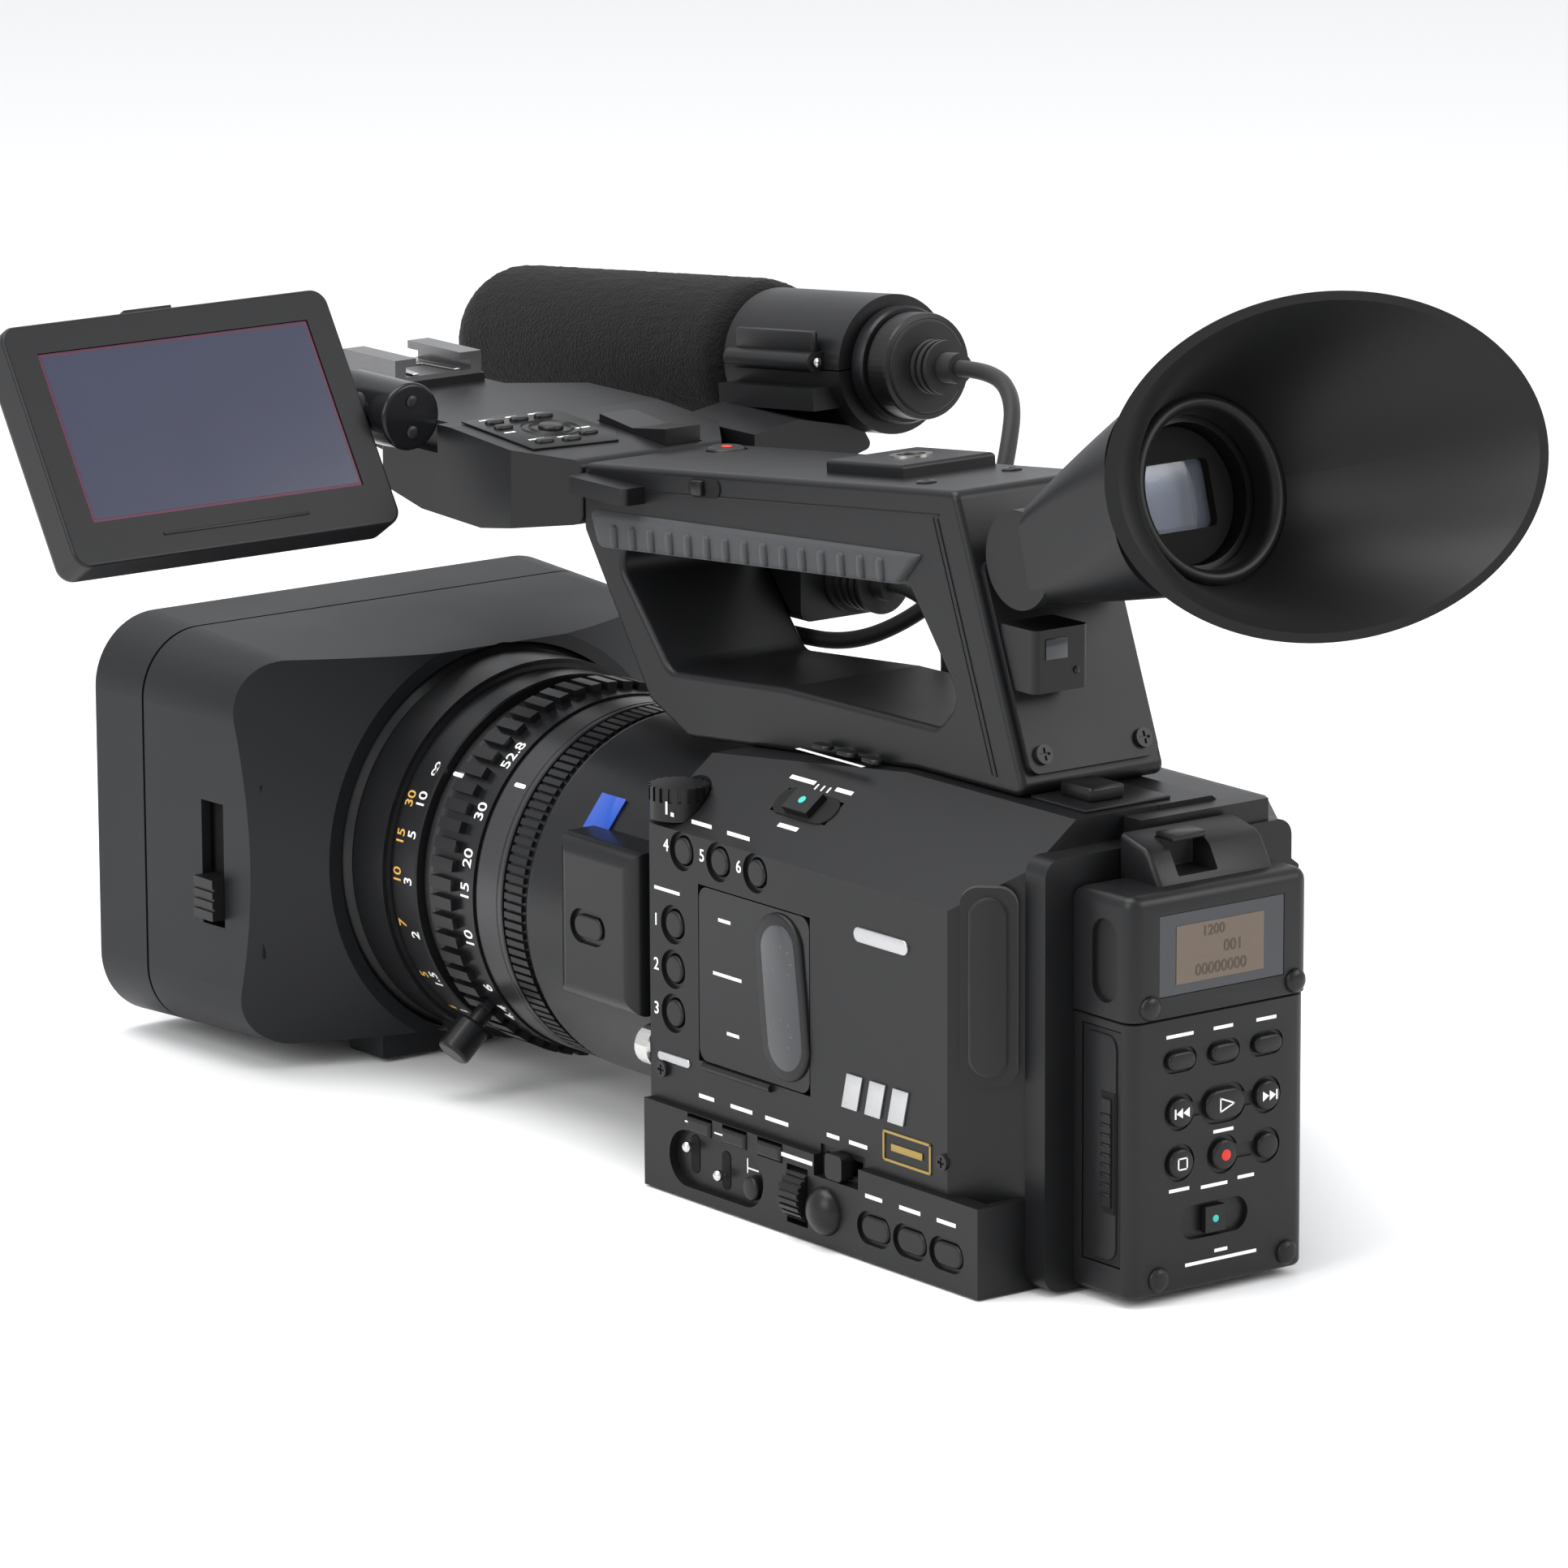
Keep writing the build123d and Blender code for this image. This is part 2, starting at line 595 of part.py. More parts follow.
# ---------------------------------------------------------------- handle
def handle_top_z(y):
    """Height of the handle's top at y."""
    share = (HANDLE_FRONT - y) / (HANDLE_FRONT - HANDLE_REAR_TOP)
    return HANDLE_TOP_FRONT + share * (HANDLE_TOP_REAR - HANDLE_TOP_FRONT)


def roof_z(y):
    """Height of the body's roof at y."""
    if y <= ROOF_BREAK_Y:
        return BODY_TOP
    return BODY_TOP - (y - ROOF_BREAK_Y) * (BODY_TOP - BODY_TOP_FRONT) / (BODY_FRONT - ROOF_BREAK_Y)


def handle():
    """Carrying handle: front arm, bar and rear post in one casting."""
    loop = along_x(
        [(HANDLE_FRONT, HANDLE_TOP_FRONT), (HANDLE_FRONT, 138.0), (35.0, 102.0),
         (20.0, roof_z(20.0)), (ROOF_BREAK_Y, BODY_TOP), (HANDLE_REAR_FOOT, BODY_TOP),
         (HANDLE_REAR_TOP, HANDLE_TOP_REAR)], (-HANDLE_HALF, HANDLE_HALF))
    loop = soften(loop, Axis.X, 2.5)
    loop -= along_x(OPENING, (-HANDLE_HALF - 1, HANDLE_HALF + 1), 5.0)
    loop = fillet(loop.faces().sort_by(Axis.X)[0].edges(), 1.5)
    loop = fillet(loop.faces().sort_by(Axis.X)[-1].edges(), 1.5)
    lug = span((-HANDLE_HALF - 6, -HANDLE_HALF + 2), (36, 58), (147.5, 151.5))
    loop += soften(lug, Axis.Z, 1.5)
    pad_y = -32.0
    pad = Pos(4, pad_y, handle_top_z(pad_y) + 0.5) * Rot(-5.8, 0, 0) * Box(26, 28, 5)
    pad = fillet(pad.faces().sort_by(Axis.Z)[-1].edges(), 1)
    loop += pad
    loop -= Pos(4, pad_y, handle_top_z(pad_y)) * Rot(-5.8, 0, 0) * Cylinder(TRIPOD_R, 14)
    loop -= rod(REC_KEY_R + GAP, (*REC_KEY_AT, handle_top_z(REC_KEY_AT[1]) - 4),
                (*REC_KEY_AT, handle_top_z(REC_KEY_AT[1]) + 5))
    return loop


def handle_grip_pad():
    """Ribbed rubber sleeve round the carrying bar."""
    low = [(51.0, 136.5), (-59.0, 145.6)]
    up = 10.0
    sleeve = along_x([(low[0][0], low[0][1] - PAD_PROUD), (low[1][0], low[1][1] - PAD_PROUD),
                      (low[1][0] - 9, low[1][1] + up), (low[0][0] + 4, low[0][1] + up)],
                     (-HANDLE_HALF - PAD_PROUD, HANDLE_HALF + PAD_PROUD), 1.5)
    sleeve -= handle()
    count = 14
    for i in range(count):
        y = 44.0 - i * 7.4
        z = low[0][1] + (low[0][0] - y) * (low[1][1] - low[0][1]) / (low[0][0] - low[1][0]) + 3.5
        sleeve -= Pos(0, y, z) * Rot(0, 90, 0) * \
            Box(5.5, 1.0, 2 * (HANDLE_HALF + PAD_PROUD) + 1) \
            & (span((-40, -HANDLE_HALF - PAD_PROUD + 0.8), (-90, 90), (100, 200))
               + span((HANDLE_HALF + PAD_PROUD - 0.8, 40), (-90, 90), (100, 200)))
    return sleeve


def rear_post_cover():
    """Cover plate on the rear post, with the lamp block moulded on it."""
    run = Vector(0, HANDLE_REAR_TOP - HANDLE_REAR_FOOT, HANDLE_TOP_REAR - BODY_TOP).normalized()
    foot = Vector(0, HANDLE_REAR_FOOT, BODY_TOP)
    out = Vector(0, -run.Z, run.Y)
    plane = Plane(origin=foot + out * (SEAM / 2), x_dir=(1, 0, 0), z_dir=out)
    plate = extrude(plane * Pos(0, 29) * RectangleRounded(36, 48, 2.5), COVER_T)
    knuckle = rod(KNUCKLE_R, (-KNUCKLE_HALF, FINDER_Y, FINDER_Z), (KNUCKLE_HALF, FINDER_Y, FINDER_Z))
    knuckle += span((-KNUCKLE_HALF, KNUCKLE_HALF), (FINDER_Y, FINDER_Y + 20),
                    (FINDER_Z - 6, FINDER_Z + 5))
    block = span((-17.5, -2.5), (-103, -90), (126, 140))
    block = soften(block, Axis.Z, 1.5)
    below = along_x([(HANDLE_REAR_FOOT - 0.5, BODY_TOP), (HANDLE_REAR_TOP - 0.5, HANDLE_TOP_REAR),
                     (-60, HANDLE_TOP_REAR), (-60, BODY_TOP)], (-30, 30))
    cover = plate + (block + knuckle - below)
    return cover - rod(PIN_R + PIN_CLEAR, (-30, FINDER_Y, FINDER_Z), (30, FINDER_Y, FINDER_Z))


# ---------------------------------------------------------------- front unit and monitor


def front_unit():
    """Control unit at the front of the handle."""
    side = [(HANDLE_FRONT + SEAM, HANDLE_TOP_FRONT + 0.4), (100, UNIT_TOP), (UNIT_FRONT, UNIT_TOP),
            (UNIT_FRONT, UNIT_FLOOR + 5), (140, UNIT_FLOOR), (112, UNIT_FLOOR - 6),
            (88, UNIT_FLOOR - 7), (HANDLE_FRONT + SEAM, 139.0)]
    unit = along_x(side, (UNIT_LEFT, UNIT_RIGHT))
    unit = soften(unit, Axis.X, 2.5)
    plan = along_z([(-20, HANDLE_FRONT), (UNIT_LEFT, 76), (UNIT_LEFT, 128), (-15, 140),
                    (-15, UNIT_FRONT), (15, UNIT_FRONT), (15, 140), (UNIT_RIGHT, 128),
                    (UNIT_RIGHT, 76), (20, HANDLE_FRONT)], (120, 170), 1.2)
    unit &= plan
    # notch for the monitor hinge
    unit -= span((SWING_X - 12, SWING_X + 10 + GAP), (LCD_Y - 12 - GAP, LCD_Y + 12 + GAP),
                 (LCD_Z - 9 - GAP, LCD_Z + 20))
    # pocket for the zoom rocker
    top = UNIT_TOP
    unit -= span((ROCKER_AT[0] - 5 - GAP, ROCKER_AT[0] + 5 + GAP),
                 (ROCKER_AT[1] - ROCKER_LEN / 2 - 0.8, ROCKER_AT[1] + ROCKER_LEN / 2 + 0.8),
                 (ROCKER_FLOOR, top + 5))
    # seat of the accessory shoe
    unit += span((-SHOE_WIDTH / 2 - 1, SHOE_WIDTH / 2 + 1), SHOE_SPAN, (UNIT_TOP - 1, UNIT_TOP + 2))
    return unit


def accessory_shoe():
    """Steel shoe: a floor and two folded rails."""
    z0 = UNIT_TOP + 2
    half = SHOE_WIDTH / 2
    slot = SHOE_SLOT / 2
    body = span((-half, half), SHOE_SPAN, (z0, z0 + 5.5))
    body -= span((-slot, slot), (SHOE_SPAN[0] - 1, SHOE_SPAN[1] + 1), (z0 + 1.2, z0 + 3.6))
    body -= span((-slot + 3, slot - 3), (SHOE_SPAN[0] - 1, SHOE_SPAN[1] + 1), (z0 + 3, z0 + 6))
    return body


def lcd_frame():
    """The monitor's own plane: x along its width, z out of the screen."""
    return Pos(0, LCD_Y, LCD_Z) * Rot(LCD_TILT, 0, 0)


def lcd_hinge():
    """Swings about an axis along Y and carries the tilt shaft."""
    barrel = rod(8.0, (SWING_X, LCD_Y - 12, LCD_Z), (SWING_X, LCD_Y + 12, LCD_Z))
    barrel = fillet(barrel.edges().filter_by(GeomType.CIRCLE), 1.0)
    neck = rod(5.0, (SWING_X, LCD_Y, LCD_Z), (LCD_NEAR - 8, LCD_Y, LCD_Z))
    return barrel + neck


def lcd_case():
    """Monitor housing with its hinge bore and top tab."""
    far = LCD_NEAR - LCD_W
    case = span((far, LCD_NEAR - 2.5), (-LCD_H / 2, LCD_H / 2), (-LCD_T / 2, LCD_T / 2))
    case = soften(case, Axis.Z, 4)
    case = fillet(case.faces().sort_by(Axis.Z)[0].edges(), 2.5)
    case = fillet(case.faces().sort_by(Axis.Z)[-1].edges(), 0.8)
    mid = (far + LCD_NEAR) / 2 - 1
    case -= Pos(mid, 1.5, LCD_T / 2) * Box(LCD_SCREEN_W + 2 * SEAM, LCD_SCREEN_H + 2 * SEAM, 4)
    case -= rod(5.0 + GAP, (LCD_NEAR, 0, 0), (LCD_NEAR - 9, 0, 0))
    tab = Pos(mid - 2, LCD_H / 2 + 0.6, 0) * Box(13, 2.4, 4)
    return lcd_frame() * (case + tab)


def lcd_screen():
    """Monitor glass."""
    far = LCD_NEAR - LCD_W
    mid = (far + LCD_NEAR) / 2 - 1
    pane = Pos(mid, 1.5, LCD_T / 2 - 1.2) * Box(LCD_SCREEN_W, LCD_SCREEN_H, 1.6)
    return lcd_frame() * pane


# ---------------------------------------------------------------- viewfinder


def finder_section(y, z, half_w, half_h, corner):
    """A rounded section across the finder, square to its axis."""
    turn = math.radians(EYE_TILT)
    plane = Plane(origin=(0, y, z), x_dir=(1, 0, 0), z_dir=(0, -math.cos(turn), math.sin(turn)))
    return plane * RectangleRounded(2 * half_w, 2 * half_h, corner)


def viewfinder_tube():
    """Finder body with the hinge pin that runs through the knuckle."""
    tube = loft([finder_section(FINDER_Y - 2, FINDER_Z + 1, FINDER_HALF, 10.5, 4),
                 finder_section(-118, 165.0, 20, 16.5, 9),
                 finder_section(EYE_BASE[1], EYE_BASE[2], 22.0, 21.5, 16)])
    left, right = (-FINDER_HALF, FINDER_Y, FINDER_Z), (FINDER_HALF, FINDER_Y, FINDER_Z)
    tube += rod(FINDER_NOSE_R, left, right)
    half = KNUCKLE_HALF + GAP
    tube -= rod(KNUCKLE_R + GAP, (-half, FINDER_Y, FINDER_Z), (half, FINDER_Y, FINDER_Z))
    tube -= span((-half, half), (FINDER_Y, FINDER_Y + 30), (FINDER_Z - 30, FINDER_Z + 20))
    tube += rod(PIN_R, left, right)
    bore = Pos(*EYE_BASE) * Rot(-EYE_TILT, 0, 0) * Rot(90, 0, 0) * Cylinder(15.5, 30)
    return tube - bore


def eyepiece_lens():
    """Eyepiece glass inside the finder."""
    disc = Pos(*EYE_BASE) * Rot(-EYE_TILT, 0, 0) * Rot(90, 0, 0) * Pos(0, 0, -9) \
        * Cylinder(15.2, 5)
    return disc


def eye_section(distance, half_w, half_h, shift, yaw):
    """An oval section of the eyecup, a distance behind the finder."""
    base = Pos(*EYE_BASE) * Rot(-EYE_TILT, 0, 0) * Pos(shift, -distance, 0) * Rot(0, 0, yaw)
    return base * (Plane(origin=(0, 0, 0), x_dir=(1, 0, 0), z_dir=(0, -1, 0))
                   * Ellipse(half_w, half_h))


def eyecup():
    """Asymmetric rubber cup that opens towards the eye."""
    outer = loft([eye_section(*s) for s in EYE_STATIONS])
    distance, half_w, half_h, shift, yaw = EYE_STATIONS[-1]
    mouth = (distance + 0.8, half_w - EYE_WALL + 0.8, half_h - EYE_WALL + 0.8, shift + 0.2, yaw)
    narrowed = [(d, w - EYE_WALL, h - EYE_WALL, x, a) for d, w, h, x, a in EYE_STATIONS[1:-1]]
    inner = loft([eye_section(*s) for s in [(0.0, 17.5, 17.5, 0, 0)] + narrowed + [mouth]])
    return outer - inner


# ---------------------------------------------------------------- microphone
def on_mic(solid):
    """Place a solid made along +Y on the microphone's axis."""
    return Pos(MIC_X, MIC_Y, MIC_Z) * Rot(MIC_PITCH, 0, 0) * solid


def mic_body():
    """Metal microphone tube."""
    tube = rod(MIC_R, (0, -MIC_TAIL_LEN, 0), (0, FOAM_LEN - 12, 0))
    tube = fillet(tube.edges().filter_by(GeomType.CIRCLE), 0.8)
    return on_mic(tube)


def mic_windscreen():
    """Foam sleeve over the front of the microphone."""
    foam = rod(FOAM_R, (0, 0.6, 0), (0, FOAM_LEN, 0))
    edges = foam.edges().filter_by(GeomType.CIRCLE).sort_by(Axis.Y)
    foam = fillet(edges[-1], 14)
    foam = fillet(foam.edges().filter_by(GeomType.CIRCLE).sort_by(Axis.Y)[0], 5)
    foam -= rod(MIC_R + SEAM, (0, -1, 0), (0, FOAM_LEN - 11.8, 0))
    return on_mic(foam)


def half_ring(upper):
    """Upper or lower half of the clamp round the microphone."""
    ring = rod(CLAMP_R, (0, -CLAMP_LEN, 0), (0, 0, 0)) - rod(MIC_R + SEAM, (0, -CLAMP_LEN - 1, 0),
                                                            (0, 1, 0))
    keep = span((-30, 30), (-60, 10), (SEAM + 0.2, 40) if upper else (-40, 0))
    return ring & keep


def mic_holder():
    """Lower half of the clamp on an arm from the handle."""
    ring = half_ring(False)
    cheek = span((-CLAMP_R - 5, -CLAMP_R + 3), (-CLAMP_LEN + 4, -4), (-9, -3.8))
    ring += cheek - rod(MIC_R + 3, (0, -60, 0), (0, 10, 0))
    part = on_mic(ring)
    arm = along_y([(HANDLE_HALF, 140), (HANDLE_HALF, 152), (44, 156), (MIC_X - 5, 152),
                   (MIC_X - 2, 147), (44, 141)], (62, 92), 1.5)
    arm -= on_mic(rod(MIC_R + 2.5, (0, -60, 0), (0, 10, 0)))
    arm -= span((0, UNIT_RIGHT + SEAM), (HANDLE_FRONT, 120), (120, 158))
    return part + arm


def mic_clamp():
    """Upper half of the clamp, hinged on its left side."""
    ring = half_ring(True)
    ear = rod(2.4, (CLAMP_HINGE_X, -CLAMP_LEN + 6, CLAMP_HINGE_Z), (CLAMP_HINGE_X, -6, CLAMP_HINGE_Z))
    web = span((CLAMP_HINGE_X, -CLAMP_R + 4), (-CLAMP_LEN + 6, -6), (0.6, 4.4))
    ring += ear + web - rod(MIC_R + SEAM, (0, -60, 0), (0, 10, 0))
    return on_mic(ring)


def mic_plug():
    """Connector and ribbed strain relief at the back of the microphone."""
    back = -MIC_TAIL_LEN - SEAM
    shell = rod(11.2, (0, back - 8, 0), (0, back, 0))
    shell = fillet(shell.edges().filter_by(GeomType.CIRCLE), 0.8)
    boot = rod(6.4, (0, back - 15, 0), (0, back - 7.5, 0))
    boot += rod(3.6, (0, -BOOT_END, 0), (0, back - 14.5, 0))
    for i in range(3):
        y = back - 14 + 2.4 * i
        boot -= rod(8, (0, y, 0), (0, y + 1, 0)) - rod(4.8, (0, y - 1, 0), (0, y + 2, 0))
    return on_mic(shell + boot)


# ---------------------------------------------------------------- input box, plug, cable


def input_box():
    """Audio input box on the right of the handle, with a socket and a cable clip."""
    box = span(BOX_X, BOX_Y, BOX_Z)
    box = soften(box, Axis.Y, 3)
    x, z = PLUG_AT
    box -= rod(PLUG_R + SEAM, (x, BOX_Y[0] - 1, z), (x, BOX_Y[0] + 14, z))
    x, y, z = CLIP_AT
    clip = rod(4.2, (x, y - 4, z), (x, y + 4, z))
    clip += span((x - 3, x + 3), (y - 4, y + 4), (z, BOX_Z[0] + 1))
    clip -= rod(CABLE_R + GAP, (x, y - 6, z), (x, y + 6, z))
    return box + clip


def cable_plug():
    """Plug in the input socket with a ribbed boot."""
    x, z = PLUG_AT
    plug = rod(PLUG_R, (x, BOX_Y[0] - 2, z), (x, BOX_Y[0] + 13.5, z))
    sleeve = rod(7.6, (x, BOX_Y[0] - 11, z), (x, BOX_Y[0] - 1.8, z))
    for i in range(3):
        sleeve -= Pos(x, BOX_Y[0] - 9.4 + 2.6 * i, z) * Rot(90, 0, 0) * (
            Cylinder(9, 1.1) - Cylinder(6.6, 2))
    tail = rod(4.2, (x, BOX_Y[0] - 15, z), (x, BOX_Y[0] - 10.8, z))
    return plug + sleeve + tail


def route_radii(points):
    """The largest arc that each corner of a route has room for."""
    radii = []
    for a, b, c in zip(points, points[1:], points[2:]):
        u, v = Vector(*b) - Vector(*a), Vector(*c) - Vector(*b)
        turn = math.radians(u.get_angle(v))
        radii.append(0.45 * min(u.length, v.length) / math.tan(turn / 2))
    return radii


def mic_cable():
    """Cable from the microphone through the clip to the input box."""
    radii = route_radii(CABLE_ROUTE)
    line = FilletPolyline(*CABLE_ROUTE, radius=radii)
    plane = Plane(origin=line @ 0, z_dir=line % 0)
    tube = sweep(plane * Circle(CABLE_R), path=line)
    print("cable length", round(line.length, 1), "tube volume share",
          round(tube.volume / (math.pi * CABLE_R ** 2 * line.length), 4))
    print("cable radii", [round(r, 1) for r in radii])
    return tube


# ---------------------------------------------------------------- hand grip
def on_slant(radius, low, high):
    """A rod square to the grip's slanted rear wall, between two heights above it."""
    corner = Vector(GRIP_RIGHT - DOOR_THICK - SEAM, GRIP_SLANT_Y, TRIGGER_Z)
    end = Vector(GRIP_SLANT_X, GRIP_REAR, TRIGGER_Z)
    run = (end - corner).normalized()
    out = Vector(-run.Y, run.X, 0)
    middle = (corner + end) * 0.5
    return rod(radius, tuple(middle + out * low), tuple(middle + out * high))


def hand_grip():
    """Grip housing on the right, hollow for the cassette compartment."""
    x = (BODY_RIGHT + SEAM, GRIP_RIGHT - DOOR_THICK - SEAM)
    y = (GRIP_REAR, GRIP_FRONT)
    z = (GRIP_FLOOR, GRIP_TOP)
    grip = span(x, y, z)
    grip = soften(grip, Axis.Y, 10)
    grip = fillet(grip.faces().sort_by(Axis.Y)[-1].edges(), 5)
    grip &= along_z([(x[0], y[1]), (x[1], y[1]), (x[1], GRIP_SLANT_Y), (GRIP_SLANT_X, y[0]),
                     (x[0], y[0])], z)
    grip -= lens_rod(HOUSING_R + 1.5, (BODY_FRONT - 1, GRIP_FRONT + 1))
    grip -= span((x[0] + WALL, x[1] + 1), TAPE_Y, TAPE_Z)
    grip -= on_slant(TRIGGER_R + GAP, -8, 2)
    grip -= span((GRIP_ROCKER[0] - 5.5 - GAP, GRIP_ROCKER[0] + 5.5 + GAP),
                 (GRIP_ROCKER[1] - 17 - 0.8, GRIP_ROCKER[1] + 17 + 0.8), (GRIP_TOP - 6, GRIP_TOP + 1))
    return grip


def tape_door():
    """Outer side of the grip: a lid that tilts out about its lower edge."""
    z = (GRIP_FLOOR + 10, GRIP_TOP - 10)
    door = span((GRIP_RIGHT - DOOR_THICK, GRIP_RIGHT), (GRIP_SLANT_Y, GRIP_FRONT - 6), z)
    door = soften(door, Axis.X, 8)
    door = fillet(door.faces().sort_by(Axis.X)[-1].edges(), 1.5)
    for y in (GRIP_SLANT_Y + 6, GRIP_FRONT - 14):
        lug = span((GRIP_RIGHT - 1, GRIP_RIGHT + STRAP_OUT - 4), (y - 2, y + 2),
                   (LENS_Z - STRAP_W / 2, LENS_Z + STRAP_W / 2))
        door += soften(lug, Axis.Y, 1.5)
    return door


def grip_strap():
    """Padded strap bowed over the back of the hand."""
    y0, y1 = GRIP_SLANT_Y + 6 + 2.3, GRIP_FRONT - 14 - 2.3
    mid = (y0 + y1) / 2
    x0 = GRIP_RIGHT + 1.2
    outer = ThreePointArc((x0 + STRAP_T, y0), (x0 + STRAP_OUT + STRAP_T, mid), (x0 + STRAP_T, y1))
    inner = ThreePointArc((x0, y1), (x0 + STRAP_OUT, mid), (x0, y0))
    face = make_face([outer, Line(outer @ 1, inner @ 0), inner, Line(inner @ 1, outer @ 0)])
    return Pos(0, 0, LENS_Z - STRAP_W / 2 + 3) * extrude(face, STRAP_W - 6)


# ---------------------------------------------------------------- recorder
def rear_cradle():
    """Plate on the back of the body that the recorder hooks on."""
    y = (REC_FRONT + SEAM, BODY_REAR - SEAM)
    plate = span((CRADLE_LEFT, CRADLE_RIGHT), y, (1.0, CRADLE_TOP))
    plate = soften(plate, Axis.Y, 4)
    plate += span((-10, 26), (BODY_REAR - 6, BODY_REAR - SEAM), (CRADLE_TOP - 6, BODY_TOP - 1))
    plate -= span((-22, 14), (REC_FRONT, REC_FRONT + 3), (14, 80))
    return plate


def recorder_case():
    """Memory recorder: a hollow case with a latch hump on top."""
    case = span((REC_LEFT, REC_RIGHT), (REC_REAR, REC_FRONT), (REC_FLOOR, REC_TOP))
    case = soften(case, Axis.Z, 3.5)
    case = fillet(case.faces().sort_by(Axis.Z)[-1].edges(), 2.5)
    hump = along_x([(REC_REAR + 5, REC_TOP - 1), (REC_REAR + 9, REC_TOP + 7),
                    (REC_FRONT, REC_TOP + 10), (REC_FRONT, REC_TOP - 1)], (-17, 15))
    case += hump
    case -= span((-11, 0), (REC_REAR + 8, REC_REAR + 15), (REC_TOP - 2, REC_TOP + 12))
    case -= span((REC_LEFT + WALL, REC_RIGHT - WALL), (REC_REAR + WALL, REC_FRONT - WALL),
                 (REC_FLOOR + WALL, REC_TOP - 4))
    # display window, keys, switch slot
    case -= span((-21.4 - SEAM, 13.2 + SEAM), (REC_REAR - 1, REC_REAR + WALL + 1),
                 (68.4 - SEAM, 86.2 + SEAM))
    for x in KEY_XS:
        for z in KEY_ZS:
            case -= rod(3.4, (x, REC_REAR - 1, z), (x, REC_REAR + WALL + 1, z))
    case -= span((POWER_X[0], POWER_X[1]), (REC_REAR - 1, REC_REAR + 1.2), (POWER_Z - 3.4,
                                                                          POWER_Z + 3.4))
    case -= span((POWER_X[0] + 1, POWER_X[1] - 1), (REC_REAR - 1, REC_REAR + WALL + 1),
                 (POWER_Z - 1.4, POWER_Z + 1.4))
    # card slot behind its door
    case -= span((REC_LEFT - 1, REC_LEFT + 2), (CARD_Y[0] - GAP, CARD_Y[1] + GAP),
                 (CARD_Z[0] - GAP, CARD_Z[1] + GAP))
    case += span((REC_LEFT + 2, REC_LEFT + 4), (REC_REAR + 1, REC_FRONT - 1), (CARD_Z[0] - 3,
                                                                              CARD_Z[1] + 3))
    case -= span((REC_LEFT, REC_LEFT + 9), (-142.5, -138.0), (14, 56))
    return case


def card_door():
    """Door over the card slot, with its lock slider."""
    door = span((REC_LEFT + 0.2, REC_LEFT + 1.8), CARD_Y, CARD_Z)
    door += span((REC_LEFT - 1.0, REC_LEFT + 0.6), (-144.5, -141.5), (22, 46))
    return door


def recorder_display():
    """Window of the recorder."""
    return span((-21.4, 13.2), (REC_REAR - 0.4, REC_REAR + WALL), (68.4, 86.2))


def recorder_keys():
    """Nine key tops on one silicone mat behind the case wall."""
    mat = span((KEY_XS[0] - 5, KEY_XS[-1] + 5), (REC_REAR + WALL + SEAM, REC_REAR + WALL + 1.6),
               (KEY_ZS[-1] - 5, KEY_ZS[0] + 5))
    for x in KEY_XS:
        for z in KEY_ZS:
            key = rod(3.1, (x, REC_REAR - 0.8, z), (x, REC_REAR + WALL + 0.5, z))
            key = fillet(key.edges().filter_by(GeomType.CIRCLE).sort_by(Axis.Y)[0], 0.6)
            mat += key
    return mat


def recorder_power_switch():
    """Slide switch at the foot of the recorder."""
    x0 = POWER_X[0] + 5.2
    knob = span((x0, x0 + 5.6), (REC_REAR - 0.6, REC_REAR + 0.9), (POWER_Z - 2.9, POWER_Z + 2.9))
    stem = span((x0 + 1.8, x0 + 3.8), (REC_REAR + 0.5, REC_REAR + WALL + 1), (POWER_Z - 1.1,
                                                                           POWER_Z + 1.1))
    return knob + stem


def terminal_cover():
    """Rubber flap over the sockets on the slanted rear-left corner."""
    a = Vector(BODY_LEFT, BODY_REAR + REAR_CHAMFER, 0)
    b = Vector(BODY_LEFT + REAR_CHAMFER, BODY_REAR, 0)
    mid = (a + b) * 0.5
    out = Vector(-1, -1, 0).normalized()
    plane = Plane(origin=mid + out * 0.3 + Vector(0, 0, 68), x_dir=(b - a).normalized(), z_dir=out)
    flap = extrude(plane * RectangleRounded(12.5, 44, 4), 2.2)
    return flap


# ---------------------------------------------------------------- small controls
def round_key(y, z):
    """Round key on the left side, at (y, z)."""
    key = rod(BUTTON_R, (BODY_LEFT + 0.1, y, z), (BODY_LEFT + 0.1 + BUTTON_LEN, y, z))
    return fillet(key.edges().filter_by(GeomType.CIRCLE).sort_by(Axis.X)[0], 0.8)


def base_keys():
    """Two silicone key strips along the base, three keys on each."""
    base_edge = BODY_LEFT - BASE_STEP
    inner = base_edge + BASE_WALL
    depth = (inner + SEAM, inner + 1.5)
    strip = span(depth, (PILL_YS[-1] - 6, PILL_YS[0] + 6), (4.4, 12.0))
    ledge = span(depth, (LEDGE_KEY_YS[-1] - 5, LEDGE_KEY_YS[0] + 5), (14.6, 20.0))
    for y in PILL_YS:
        key = Pos(inner + 0.6, y, PILL_Z) * pill(10, 5.6, BASE_WALL + 0.4)
        key = fillet(key.faces().sort_by(Axis.X)[0].edges(), 0.8)
        strip += key
    for y in LEDGE_KEY_YS:
        key = span((base_edge - 0.6, inner + 0.6), (y - 4.3, y + 4.3), (16.4, 19.8))
        ledge += fillet(key.faces().sort_by(Axis.X)[0].edges(), 0.8)
    return [strip, ledge]


